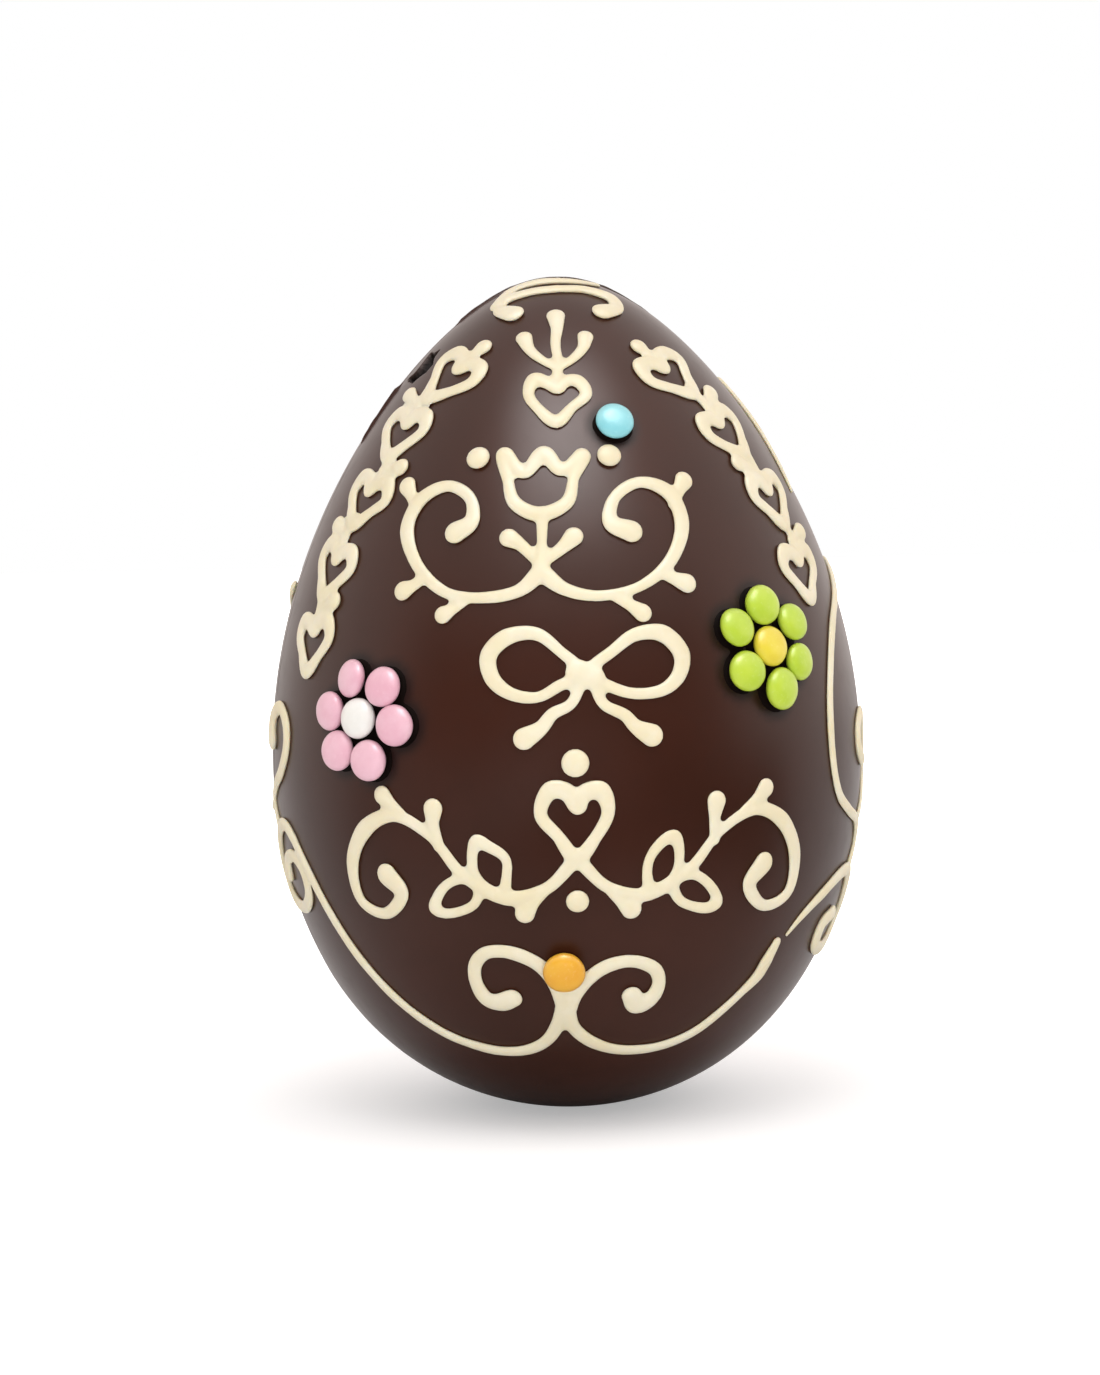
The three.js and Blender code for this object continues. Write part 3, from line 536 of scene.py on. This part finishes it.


def shade_round_sweets(points):
    """1 beside the sweets, fading to 0 a few millimetres away: a painted contact shadow round each sweet,
    where the shell is also duller from the melt that holds them.
    """
    melted_shade = np.zeros(len(points))
    for sweet in SWEETS:
        if "bed" in sweet:
            continue
        centre = on_egg(sweet["azimuth"], sweet["height"])[0][0]
        away = np.linalg.norm(points - centre, axis=1) / sweet.get("size", 1)
        melted_shade = np.maximum(melted_shade, 1 - soft_step(away, *SWEET_SHADE_REACH))
    return melted_shade


def refine_round_chip(mesh):
    """Splits the faces round the chip finely, so that its broken edge can be crisp."""
    centre = Vector(on_egg(CHIP["azimuth"], CHIP["height"])[0][0]) * MM
    form = bmesh.new()
    form.from_mesh(mesh)
    near = [f for f in form.faces if (f.calc_center_median() - centre).length < CHIP_REACH * MM]
    edges = list({e for f in near for e in f.edges})
    bmesh.ops.subdivide_edges(form, edges=edges, cuts=CHIP_CUTS, use_grid_fill=True)
    form.to_mesh(mesh)
    form.free()


def moulded_egg(material):
    azimuths, heights = egg_azimuths(), egg_heights()
    grid_azimuth, grid_height = np.meshgrid(azimuths, heights)
    points, _ = on_egg(grid_azimuth.ravel(), grid_height.ravel())
    faces = revolved_faces(len(heights), len(azimuths))
    points, faces = with_poles(points, faces, len(heights), len(azimuths), [0, 0, 0], [0, 0, EGG_HEIGHT])
    egg = mesh_object("moulded_egg", points, faces, material)
    refine_round_chip(egg.data)
    spots = np.empty(len(egg.data.vertices) * 3)
    egg.data.vertices.foreach_get("co", spots)
    spots = spots.reshape(-1, 3) / MM
    _, normals = on_egg(azimuths_of(spots), np.minimum(spots[:, 2], EGG_HEIGHT - 0.01))
    depth, broken_and_shaded = chip_relief(spots)
    standing = soft_step(spots[:, 2], 0.2, 3)  # nothing stands proud of the flat spot underneath
    spots += normals * (seam_relief(spots) * standing * (1 - broken_and_shaded) - depth)[:, None]
    egg.data.vertices.foreach_set("co", (spots * MM).ravel())
    store(egg.data, "broken_and_shaded", "FLOAT", broken_and_shaded)
    store(egg.data, "melted_shade", "FLOAT", shade_round_sweets(spots))
    egg.data.update()
    settle(egg, "dark_chocolate", "egg_body")


# ---- Piped icing ----

BEAD_LEAN = 0.9  # how wide a bead runs over the width of its stroke
BEAD_RISE = 0.33  # height of a bead over its width
BEAD_RISE_MOST = 2.2
BEAD_SINK = 0.2  # how much lower a bead stands than its solid
BEAD_HALF_RISE = 0.64  # half height of a bead's rounds over its height, so that they dip into the egg
BEAD_VOXEL = 0.42
DOT_RISE = 0.34  # height of a dot over its width
DOT_HALF_RISE = 0.62
DOT_CENTRE = 0.36  # height of a dot's centre over its height
MELT = 0.55  # how far icing runs together where beads meet
# The dabs under the sweets are painted near-black, as the shadow that falls under their rims.
DAB_HALF_SIZE = (7.3, 7.3, 1.5)
DAB_SINK = 0.3  # how deep in the shell a dab's centre lies
DAB_MELT = 0.4
DAB_VOXEL = 0.5


def piped_icing_tree():
    """Sets a flattened round of icing at every point, sized by one attribute and turned by another."""
    tree = bpy.data.node_groups.new("piped_icing", "GeometryNodeTree")
    tree.is_modifier = True
    tree.interface.new_socket("Geometry", in_out="INPUT", socket_type="NodeSocketGeometry")
    tree.interface.new_socket("Sides", in_out="INPUT", socket_type="NodeSocketInt").default_value = 18
    tree.interface.new_socket("Icing", in_out="INPUT", socket_type="NodeSocketMaterial")
    tree.interface.new_socket("Geometry", in_out="OUTPUT", socket_type="NodeSocketGeometry")
    new, link = tree.nodes.new, tree.links.new
    group_in, group_out = new("NodeGroupInput"), new("NodeGroupOutput")
    size, stand = new("GeometryNodeInputNamedAttribute"), new("GeometryNodeInputNamedAttribute")
    for node, name in ((size, "bead"), (stand, "stand")):
        node.data_type = "FLOAT_VECTOR"
        node.inputs["Name"].default_value = name
    ball = new("GeometryNodeMeshUVSphere")
    ball.inputs["Radius"].default_value = 1
    ball.inputs["Rings"].default_value = 10
    turn = new("FunctionNodeAlignRotationToVector")
    turn.axis = "Z"
    spread, real, coat = (new(kind) for kind in (
        "GeometryNodeInstanceOnPoints", "GeometryNodeRealizeInstances", "GeometryNodeSetMaterial"))
    link(group_in.outputs["Geometry"], spread.inputs["Points"])
    link(group_in.outputs["Sides"], ball.inputs["Segments"])
    link(ball.outputs["Mesh"], spread.inputs["Instance"])
    link(stand.outputs["Attribute"], turn.inputs["Vector"])
    link(turn.outputs["Rotation"], spread.inputs["Rotation"])
    link(size.outputs["Attribute"], spread.inputs["Scale"])
    link(spread.outputs["Instances"], real.inputs["Geometry"])
    link(real.outputs["Geometry"], coat.inputs["Geometry"])
    link(group_in.outputs["Icing"], coat.inputs["Material"])
    link(coat.outputs["Geometry"], group_out.inputs["Geometry"])
    return tree


def bead_stations(stroke, seed):
    """Points along a stroke, their half sizes and the egg's normals, with the hand's small unevenness."""
    spots = np.array([on_egg(azimuth, height)[0][0] for azimuth, height, _ in stroke])
    closed = math.dist(stroke[0][:2], stroke[-1][:2]) < 1e-6
    line, places, run = smooth_line(spots[:-1] if closed else spots, closed)
    widths = np.interp(places, np.arange(len(stroke)), [w for _, _, w in stroke])
    ticks = np.stack([run, np.full(len(run), seed * 7.7), np.zeros(len(run))], axis=1)
    even = np.sin(np.linspace(0, math.pi, len(run))) if closed else 1
    widths = widths * BEAD_LEAN * (1 + 0.055 * even * fine_noise(ticks, 7.5, 1))
    rise = np.minimum(widths * BEAD_RISE, BEAD_RISE_MOST)
    top = GAP + rise * (1 + 0.05 * fine_noise(ticks, 11, 2)) - BEAD_SINK
    half_rise = BEAD_HALF_RISE * top
    centre, normal = on_egg(azimuths_of(line), line[:, 2], top - half_rise)
    half = widths / 2
    return centre, np.stack([half, half, half_rise], axis=1), normal


def dot_station(anchor, u, v, width):
    azimuth, height = spot_beside(anchor, u, v)
    top = GAP + DOT_RISE * width
    centre, normal = on_egg(azimuth, height, DOT_CENTRE * top)
    return centre, np.array([[width / 2, width / 2, DOT_HALF_RISE * top]]), normal


def run_together(name, stations, material, tree, melt=MELT, voxel=BEAD_VOXEL):
    """Joins rounds of icing into one soft skin: swollen, remeshed, drawn back in and smoothed."""
    centres, sizes, normals = (np.vstack(part) for part in zip(*stations))
    mesh = bpy.data.meshes.new(name)
    mesh.from_pydata((centres * MM).tolist(), [], [])
    store(mesh, "bead", "FLOAT_VECTOR", (sizes + melt) * MM)
    store(mesh, "stand", "FLOAT_VECTOR", normals)
    obj = new_object(name, mesh)
    sockets = {s.name: s.identifier for s in tree.interface.items_tree if s.in_out == "INPUT"}
    piping = obj.modifiers.new("piping", "NODES")
    piping.node_group = tree
    piping[sockets["Icing"]] = material
    joining = obj.modifiers.new("joining", "REMESH")
    joining.mode, joining.voxel_size = "VOXEL", voxel * MM
    drawing = obj.modifiers.new("drawing", "DISPLACE")
    drawing.mid_level, drawing.strength = 0, -melt * MM
    softening = obj.modifiers.new("softening", "SMOOTH")
    softening.factor, softening.iterations = 0.5, 7
    made = bpy.data.meshes.new_from_object(obj.evaluated_get(bpy.context.evaluated_depsgraph_get()))
    obj.modifiers.clear()
    obj.data = made
    made.name = name
    made.materials.clear()
    made.materials.append(material)
    made.polygons.foreach_set("use_smooth", [True] * len(made.polygons))
    return obj


def pipe_all(icing, shadow_glue):
    """All the icing, and the near-black dabs under the sweets: chocolate that holds them, painted dark as
    the shadow under their rims.
    """
    tree = piped_icing_tree()
    for i, (node, strokes) in enumerate(ORNAMENTS.items()):
        stations = [bead_stations(stroke, i * 20 + j) for j, stroke in enumerate(strokes)]
        piped = run_together(node.replace("icing", "piped"), stations, icing, tree)
        settle(piped, "icing", node)
    for i, dot in enumerate(DOTS):
        piped = run_together(f"piped_dot_{i + 1}", [dot_station(*dot)], icing, tree)
        settle(piped, "icing", f"icing_dot_{i + 1}")
    shadow_dabs = []
    for sweet in SWEETS:
        if "bed" not in sweet:
            centre, normal = on_egg(sweet["azimuth"], sweet["height"], -DAB_SINK)
            shadow_dabs.append((centre, np.array([DAB_HALF_SIZE]) * sweet.get("size", 1), normal))
    joined = run_together("sweet_dabs", shadow_dabs, shadow_glue, tree, melt=DAB_MELT, voxel=DAB_VOXEL)
    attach(joined, "root")


# ---- Sugar-coated sweets ----

SWEET_RINGS = 22
SWEET_SIDES = 44
SWEET_BELLY = 0.8  # under 1, a sweet is fuller than an ellipse
SWEET_CROWN = 1.04  # over 1, its faces are a little more domed
SWEET_TURN = 2.4  # radians between the tilts of one sweet and the next
SWEET_SINK = 0.05


def sugar_sweet(sweet, index, material):
    """A lentil-shaped sweet, slightly uneven, tilted and set in its place on the egg."""
    angles = np.radians(np.linspace(-90, 90, SWEET_RINGS + 2)[1:-1])
    around = np.linspace(0, 2 * math.pi, SWEET_SIDES, endpoint=False)
    across = np.cos(angles) ** SWEET_BELLY * SWEET_DIAMETER / 2
    stand = np.sign(np.sin(angles)) * np.abs(np.sin(angles)) ** SWEET_CROWN * SWEET_THICKNESS / 2
    points = np.stack([np.outer(across, np.cos(around)).ravel(), np.outer(across, np.sin(around)).ravel(),
                       np.repeat(stand, SWEET_SIDES)], axis=1)
    half = SWEET_THICKNESS / 2
    faces = revolved_faces(SWEET_RINGS, SWEET_SIDES)
    points, faces = with_poles(points, faces, SWEET_RINGS, SWEET_SIDES, [0, 0, -half], [0, 0, half])
    uneven = 0.16 * fine_noise(points, 6.5, index) + 0.05 * fine_noise(points, 2.4, index + 30)
    points = points * (1 + uneven / 6)[:, None]
    lean_round, lean_up = sweet.get("lean", (0, 0))
    tilt = (Matrix.Rotation(math.radians(SWEET_TILT * math.sin(index * SWEET_TURN) - lean_up), 4, "X")
            @ Matrix.Rotation(math.radians(SWEET_TILT * math.cos(index * SWEET_TURN) + lean_round), 4, "Y"))
    size = sweet.get("size", 1)
    bed = sweet.get("bed", GAP) - GAP - SWEET_SINK
    place = place_on_egg(sweet["azimuth"], sweet["height"], bed + half * size)
    place = place @ tilt @ Matrix.Scale(size, 4)
    points = np.array([place @ Vector(p) for p in points])
    obj = mesh_object(sweet["name"].replace("sweet", "sugar"), points, faces, material)
    settle(obj, "sugar_" + sweet["colour"], sweet["name"])


# ---- Finishes ----


def shade(red, green, blue):
    """A linear colour from the 0 to 255 values of a colour chart."""
    return tuple(c / 12.92 if c <= 0.04045 else ((c + 0.055) / 1.055) ** 2.4
                 for c in (red / 255, green / 255, blue / 255)) + (1.0,)


def grey(level):
    return (level,) * 3 + (1.0,)


def maths(tree, operation, one, other):
    """A new node that joins two sockets, such as by MULTIPLY or ADD. Returns its socket."""
    node = tree.nodes.new("ShaderNodeMath")
    node.operation = operation
    tree.links.new(one, node.inputs[0])
    tree.links.new(other, node.inputs[1])
    return node.outputs[0]


def ramp(tree, socket, low, high):
    """0 where the socket is at low and 1 where it is at high, eased between."""
    node = tree.nodes.new("ShaderNodeMapRange")
    node.interpolation_type = "SMOOTHSTEP"
    node.inputs["From Min"].default_value, node.inputs["From Max"].default_value = low, high
    tree.links.new(socket, node.inputs["Value"])
    return node.outputs["Result"]


def between(tree, socket, start, end):
    """Start where the socket is 0 and end where it is 1."""
    node = tree.nodes.new("ShaderNodeMapRange")
    node.inputs["To Min"].default_value, node.inputs["To Max"].default_value = start, end
    tree.links.new(socket, node.inputs["Value"])
    return node.outputs["Result"]


def value_group(name, sizes, out):
    """An empty shader group with float inputs and one float output, and its end nodes."""
    group = bpy.data.node_groups.new(name, "ShaderNodeTree")
    for label, value in sizes.items():
        socket = group.interface.new_socket(label, in_out="INPUT", socket_type="NodeSocketFloat")
        socket.default_value = value
    group.interface.new_socket(out, in_out="OUTPUT", socket_type="NodeSocketFloat")
    return group, group.nodes.new("NodeGroupInput"), group.nodes.new("NodeGroupOutput")


def noise_node(tree, detail, roughness=0.5):
    coordinates, texture = tree.nodes.new("ShaderNodeTexCoord"), tree.nodes.new("ShaderNodeTexNoise")
    texture.inputs["Detail"].default_value = detail
    texture.inputs["Roughness"].default_value = roughness
    tree.links.new(coordinates.outputs["Object"], texture.inputs["Vector"])
    return texture


def soft_mottle():
    """Cloudy patches: 0 below Low, 1 above High, of a noise with Scale lumps a metre."""
    group, start, end = value_group("soft_mottle", {"Scale": 20, "Low": 0.35, "High": 0.65}, "Mask")
    texture, spread = noise_node(group, 4, 0.55), group.nodes.new("ShaderNodeMapRange")
    spread.interpolation_type = "SMOOTHSTEP"
    for source, target in ((start.outputs["Scale"], texture.inputs["Scale"]),
                           (texture.outputs["Fac"], spread.inputs["Value"]),
                           (start.outputs["Low"], spread.inputs["From Min"]),
                           (start.outputs["High"], spread.inputs["From Max"]),
                           (spread.outputs["Result"], end.inputs["Mask"])):
        group.links.new(source, target)
    return group


def hand_relief():
    """The height of slow waves and of fine grain, in millimetres."""
    sizes = {"Wave scale": 20, "Wave depth": 0.1, "Grain scale": 900, "Grain depth": 0.01}
    group, start, end = value_group("hand_relief", sizes, "Height")
    heights = []
    for kind, detail in (("Wave", 1.5), ("Grain", 3)):
        texture = noise_node(group, detail)
        group.links.new(start.outputs[f"{kind} scale"], texture.inputs["Scale"])
        heights.append(maths(group, "MULTIPLY", texture.outputs["Fac"], start.outputs[f"{kind} depth"]))
    group.links.new(maths(group, "ADD", *heights), end.inputs["Height"])
    return group


class Finish:
    """A material with a Principled shader, and short ways to place the shared groups in it.
    Labels are those of the sockets, with _ for a space."""

    def __init__(self, name, **values):
        self.material = bpy.data.materials.new(name)
        self.material.use_nodes = True
        self.tree = self.material.node_tree
        self.shader = self.tree.nodes["Principled BSDF"]
        for label, value in values.items():
            self.shader.inputs[label.replace("_", " ")].default_value = value

    def group(self, group, **values):
        node = self.tree.nodes.new("ShaderNodeGroup")
        node.node_tree = group
        for label, value in values.items():
            node.inputs[label.replace("_", " ")].default_value = value
        return node.outputs[0]

    def mix(self, factor, low, high, kind="RGBA", wanted="RGBA"):
        """Blends two colours. Each of the three is a value or a socket."""
        node = self.tree.nodes.new("ShaderNodeMix")
        node.data_type = kind
        ends = [s for s in node.inputs if s.type == wanted and s.name in "AB"]
        for socket, value in ((node.inputs["Factor"], factor), (ends[0], low), (ends[1], high)):
            if isinstance(value, bpy.types.NodeSocket):
                self.tree.links.new(value, socket)
            else:
                socket.default_value = value
        return next(s for s in node.outputs if s.type == wanted)

    def level(self, factor, low, high):
        """Blends two numbers likewise."""
        return self.mix(factor, low, high, "FLOAT", "VALUE")

    def attribute(self, name):
        node = self.tree.nodes.new("ShaderNodeAttribute")
        node.attribute_name = name
        return node.outputs["Fac"]

    def feed(self, label, socket):
        self.tree.links.new(socket, self.shader.inputs[label])

    def bump(self, relief, wave, grain):
        """Bumps the surface by slow waves and fine grain, each with a scale and a depth in millimetres."""
        height = self.group(relief, Wave_scale=wave[0], Wave_depth=wave[1],
                            Grain_scale=grain[0], Grain_depth=grain[1])
        node = self.tree.nodes.new("ShaderNodeBump")
        node.inputs["Distance"].default_value = MM
        node.inputs["Strength"].default_value = 1
        self.tree.links.new(height, node.inputs["Height"])
        self.feed("Normal", node.outputs["Normal"])


def dark_chocolate(mottle, relief):
    """Tempered chocolate with a faint bloom; darker round the sweets, which is painted shade, and duller
    there from the melt that holds them; matt and painted near-black as shade on the face of the chip.
    """
    finish = Finish("dark_chocolate", IOR=1.47, Specular_IOR_Level=0.38)
    patches = finish.group(mottle, Scale=14, Low=0.3, High=0.7)
    bloom = finish.group(mottle, Scale=5, Low=0.5, High=0.85)
    freckles = finish.group(mottle, Scale=160, Low=0.45, High=0.8)
    broken_and_shaded, melted_shade = finish.attribute("broken_and_shaded"), finish.attribute("melted_shade")
    colour = finish.mix(patches, shade(48, 22, 12), shade(54, 25, 15))
    colour = finish.mix(finish.level(bloom, 0.0, 0.18), colour, shade(70, 46, 36))
    colour = finish.mix(finish.level(freckles, 0.0, 0.12), colour, shade(40, 19, 11))
    # painted shade: a soft contact shadow round each sweet, a darker base colour fading out
    colour = finish.mix(melted_shade, colour, shade(25, 10, 6))
    # painted shade: the face of the chip is near-black as the shade deep in the pit
    finish.feed("Base Color", finish.mix(broken_and_shaded, colour, shade(17, 11, 9)))
    gloss = finish.level(bloom, 0.3, 0.38)
    gloss = finish.level(finish.level(freckles, 0.0, 0.3), gloss, 0.42)
    gloss = finish.level(melted_shade, gloss, 0.5)
    finish.feed("Roughness", finish.level(broken_and_shaded, gloss, 0.8))
    finish.bump(relief, wave=(16, 0.12), grain=(700, 0.006))
    return finish.material


def sweet_glue(mottle, relief):
    """Chocolate under the sweets that holds them, painted near-black as the shadow under their rims, and
    duller than the moulded shell.
    """
    finish = Finish("sweet_glue", IOR=1.45, Specular_IOR_Level=0.05)
    patches = finish.group(mottle, Scale=60, Low=0.3, High=0.7)
    # painted shadow: a near-black base colour under the sweets
    finish.feed("Base Color", finish.mix(patches, shade(11, 7, 6), shade(17, 10, 8)))
    finish.feed("Roughness", finish.level(patches, 0.6, 0.75))
    finish.bump(relief, wave=(180, 0.15), grain=(1200, 0.01))
    return finish.material


def cream_icing(mottle, relief):
    """White chocolate icing: soft, slightly see-through, with paler flecks of fat."""
    finish = Finish("cream_icing", IOR=1.45, Subsurface_Weight=0.35, Subsurface_Scale=0.0022,
                    Subsurface_Radius=(1.0, 0.72, 0.4))
    patches = finish.group(mottle, Scale=45, Low=0.3, High=0.7)
    fat = finish.group(mottle, Scale=220, Low=0.5, High=0.75)
    colour = finish.mix(patches, shade(218, 212, 189), shade(214, 205, 174))
    colour = finish.mix(finish.level(fat, 0.0, 0.3), colour, shade(226, 220, 202))
    finish.feed("Base Color", colour)
    finish.feed("Roughness", finish.level(patches, 0.4, 0.5))
    finish.bump(relief, wave=(240, 0.12), grain=(1600, 0.01))
    return finish.material


# The lighter and the deeper patches of each sugar shell.
SUGAR_COLOURS = {
    "pink": (shade(218, 177, 190), shade(212, 162, 178)),
    "white": (shade(226, 226, 222), shade(219, 219, 214)),
    "green": (shade(179, 202, 63), shade(168, 195, 51)),
    "yellow": (shade(216, 200, 63), shade(211, 190, 51)),
    "blue": (shade(138, 204, 211), shade(123, 194, 204)),
    "orange": (shade(219, 166, 50), shade(215, 155, 40)),
}


def sugar_shell(colour, mottle, relief):
    """A thin polished sugar coat with fine pale specks."""
    finish = Finish(f"sugar_{colour}", IOR=1.5, Coat_Weight=0.35, Coat_Roughness=0.2,
                    Subsurface_Weight=0.12, Subsurface_Scale=0.0012, Subsurface_Radius=(1.0, 0.8, 0.7))
    light, deep = SUGAR_COLOURS[colour]
    patches = finish.group(mottle, Scale=110, Low=0.3, High=0.7)
    specks = finish.group(mottle, Scale=900, Low=0.55, High=0.75)
    tint = finish.mix(patches, light, deep)
    pale = tuple(0.5 + 0.5 * c for c in light[:3]) + (1.0,)
    finish.feed("Base Color", finish.mix(finish.level(specks, 0.0, 0.1), tint, pale))
    finish.feed("Roughness", finish.level(patches, 0.3, 0.42))
    finish.bump(relief, wave=(260, 0.1), grain=(2200, 0.008))
    return finish.material


# Metres on the floor. Reflections see its front part darker than the camera does, painted shade and light
# that only reflections show:
# nearly black at the foot as painted shadow, then a lighter ring, then dim again further out, and a painted
# lighter left.
FLOOR_FADE = (0.25, 0.9)  # from the egg, where the floor turns to the backdrop's colour
FLOOR_GLOW = (0.16, 0.55)  # and where it turns to the backdrop's brightness
FLOOR_FRONT = (0.02, -0.09)  # Y, where the darker part in front starts and is full
FLOOR_LEFT = (-0.02, -0.25)  # X, likewise for the lighter left
FLOOR_FOOT = (0.058, 0.08)  # from the egg, where the foot's painted shadow ends and the ring is full
FLOOR_FAR = (0.17, 0.36)  # and where the ring ends and the far part is full


def pale_floor(mottle):
    """A pale floor that turns to the backdrop's white away from the egg, so that no horizon shows."""
    finish = Finish("pale_floor", Roughness=0.9, Specular_IOR_Level=0.1, Emission_Color=(1, 1, 1, 1))
    tree = finish.tree
    where, parts, length, path = (tree.nodes.new(kind) for kind in (
        "ShaderNodeTexCoord", "ShaderNodeSeparateXYZ", "ShaderNodeVectorMath", "ShaderNodeLightPath"))
    length.operation = "LENGTH"
    for node in (length, parts):
        tree.links.new(where.outputs["Object"], node.inputs[0])
    reach = length.outputs["Value"]
    patches = finish.group(mottle, Scale=2, Low=0.3, High=0.7)
    colour = finish.mix(patches, (0.74, 0.76, 0.78, 1), (0.76, 0.78, 0.8, 1))
    colour = finish.mix(ramp(tree, reach, *FLOOR_FADE), colour, (0.83, 0.855, 0.875, 1))
    # Painted shade and light for reflections only: a near-black foot, a lighter ring, a dim far part,
    # lighter on the left.
    left = ramp(tree, parts.outputs["X"], *FLOOR_LEFT)
    ring = finish.mix(left, grey(0.48), grey(0.75))
    far = finish.mix(left, grey(0.05), grey(0.42))
    reflected = finish.mix(ramp(tree, reach, *FLOOR_FAR), ring, far)
    reflected = finish.mix(ramp(tree, reach, *FLOOR_FOOT), grey(0.1), reflected)
    in_front = ramp(tree, parts.outputs["Y"], *FLOOR_FRONT)
    painted_reflection_mask = maths(tree, "MULTIPLY", in_front, path.outputs["Is Glossy Ray"])
    finish.feed("Base Color", finish.mix(painted_reflection_mask, colour, reflected))
    glow = finish.level(ramp(tree, reach, *FLOOR_GLOW), 0.36, 1.0)
    finish.feed("Emission Strength", finish.level(path.outputs["Is Camera Ray"], 0.0, glow))
    return finish.material


# ---- Studio ----

EGG_CENTRE = (0, 0, 0.14)  # metres
CAMERA_DISTANCE = 1.111
CAMERA_ELEVATION = math.radians(4)
CAMERA_ROLL = -0.0197  # radians


def look_at_egg(obj, roll=0.0):
    aim = (Vector(EGG_CENTRE) - obj.location).to_track_quat("-Z", "Y").to_matrix()
    obj.rotation_euler = (aim @ Matrix.Rotation(roll, 3, "Z")).to_euler()


def studio_camera():
    data = bpy.data.cameras.new("camera")
    data.lens, data.sensor_width, data.sensor_fit = 85, 36, "AUTO"
    data.shift_x, data.shift_y = -0.01114, 0.00252
    camera = new_object("camera", data)
    camera.location = (0, -CAMERA_DISTANCE * math.cos(CAMERA_ELEVATION),
                       EGG_CENTRE[2] + CAMERA_DISTANCE * math.sin(CAMERA_ELEVATION))
    look_at_egg(camera, CAMERA_ROLL)
    bpy.context.scene.camera = camera


def softbox(name, location, size, power, spread=180.0):
    data = bpy.data.lights.new(name, "AREA")
    data.shape, data.size, data.size_y = "RECTANGLE", *size
    data.energy, data.spread = power, math.radians(spread)
    lamp = new_object(name, data)
    lamp.location = location
    look_at_egg(lamp)
    return lamp


AMBIENT = 1.125  # strength of the light all round
DARK_ROOM = 0.1  # and of that from the room behind the camera
BRIGHTER_RIGHT = 1.25  # times as much light from the right
BEHIND_CAMERA = (-0.15, -0.6)  # Y of a direction, from the edge of the dark room into it
BELOW_LAMPS = (0.62, 0.3)  # Z of a direction, likewise
ON_THE_RIGHT = (0.0, 0.6)  # X of a direction, where the light starts to rise and is full


def studio_world():
    """Soft white all round, with a dim room behind the camera. The camera sees a plain pale backdrop."""
    world = bpy.data.worlds.new("studio")
    bpy.context.scene.world = world
    world.use_nodes = True
    tree = world.node_tree
    new, link = tree.nodes.new, tree.links.new
    soft, output = tree.nodes["Background"], tree.nodes["World Output"]
    direction, parts = new("ShaderNodeTexCoord"), new("ShaderNodeSeparateXYZ")
    link(direction.outputs["Generated"], parts.inputs["Vector"])
    room = maths(tree, "MULTIPLY", ramp(tree, parts.outputs["Y"], *BEHIND_CAMERA),
                 ramp(tree, parts.outputs["Z"], *BELOW_LAMPS))
    right = ramp(tree, parts.outputs["X"], *ON_THE_RIGHT)
    strength = maths(tree, "MULTIPLY", between(tree, room, AMBIENT, DARK_ROOM),
                     between(tree, right, 1, BRIGHTER_RIGHT))
    link(strength, soft.inputs["Strength"])
    soft.inputs["Color"].default_value = (1, 0.915, 0.87, 1)
    path, seen, mix = new("ShaderNodeLightPath"), new("ShaderNodeBackground"), new("ShaderNodeMixShader")
    seen.inputs["Color"].default_value = grey(1)
    seen.inputs["Strength"].default_value = 1
    link(path.outputs["Is Camera Ray"], mix.inputs["Fac"])
    link(soft.outputs[0], mix.inputs[1])
    link(seen.outputs[0], mix.inputs[2])
    link(mix.outputs[0], output.inputs["Surface"])


FLOOR_HALF = 6000
FLOOR_LEVEL = -0.2  # just under the egg's flat spot


def studio_floor(mottle):
    sides = ((-1, -1), (1, -1), (1, 1), (-1, 1))
    corners = [(x * FLOOR_HALF, y * FLOOR_HALF, FLOOR_LEVEL) for x, y in sides]
    floor = mesh_object("floor", corners, [(0, 1, 2, 3)], pale_floor(mottle), smooth=False)


def studio(mottle):
    studio_camera()
    studio_world()
    studio_floor(mottle)
    softbox("key_above", (-0.03, -0.57, 1.34), (0.7, 0.84), 0.405, spread=60)
    softbox("sheen_above", (0.05, -0.54, 1.37), (1.05, 0.94), 2.5, spread=60).visible_diffuse = False
    softbox("fill_front", (0, -1.0, 0.05), (0.7, 0.3), 7.7).visible_glossy = False
    bpy.context.scene.view_settings.view_transform = "Standard"


# ---- The whole ----


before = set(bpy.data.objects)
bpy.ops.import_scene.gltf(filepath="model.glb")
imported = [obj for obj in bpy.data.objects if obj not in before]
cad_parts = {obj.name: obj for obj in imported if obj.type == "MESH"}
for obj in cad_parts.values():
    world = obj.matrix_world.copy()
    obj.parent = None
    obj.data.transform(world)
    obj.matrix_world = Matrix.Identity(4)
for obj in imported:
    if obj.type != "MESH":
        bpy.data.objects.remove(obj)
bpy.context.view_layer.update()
studio_mottle, studio_relief = soft_mottle(), hand_relief()
studio(studio_mottle)
moulded_egg(dark_chocolate(studio_mottle, studio_relief))
pipe_all(cream_icing(studio_mottle, studio_relief), sweet_glue(studio_mottle, studio_relief))
shells = {colour: sugar_shell(colour, studio_mottle, studio_relief) for colour in SUGAR_COLOURS}
for order, sugar in enumerate(SWEETS):
    sugar_sweet(sugar, order, shells[sugar["colour"]])
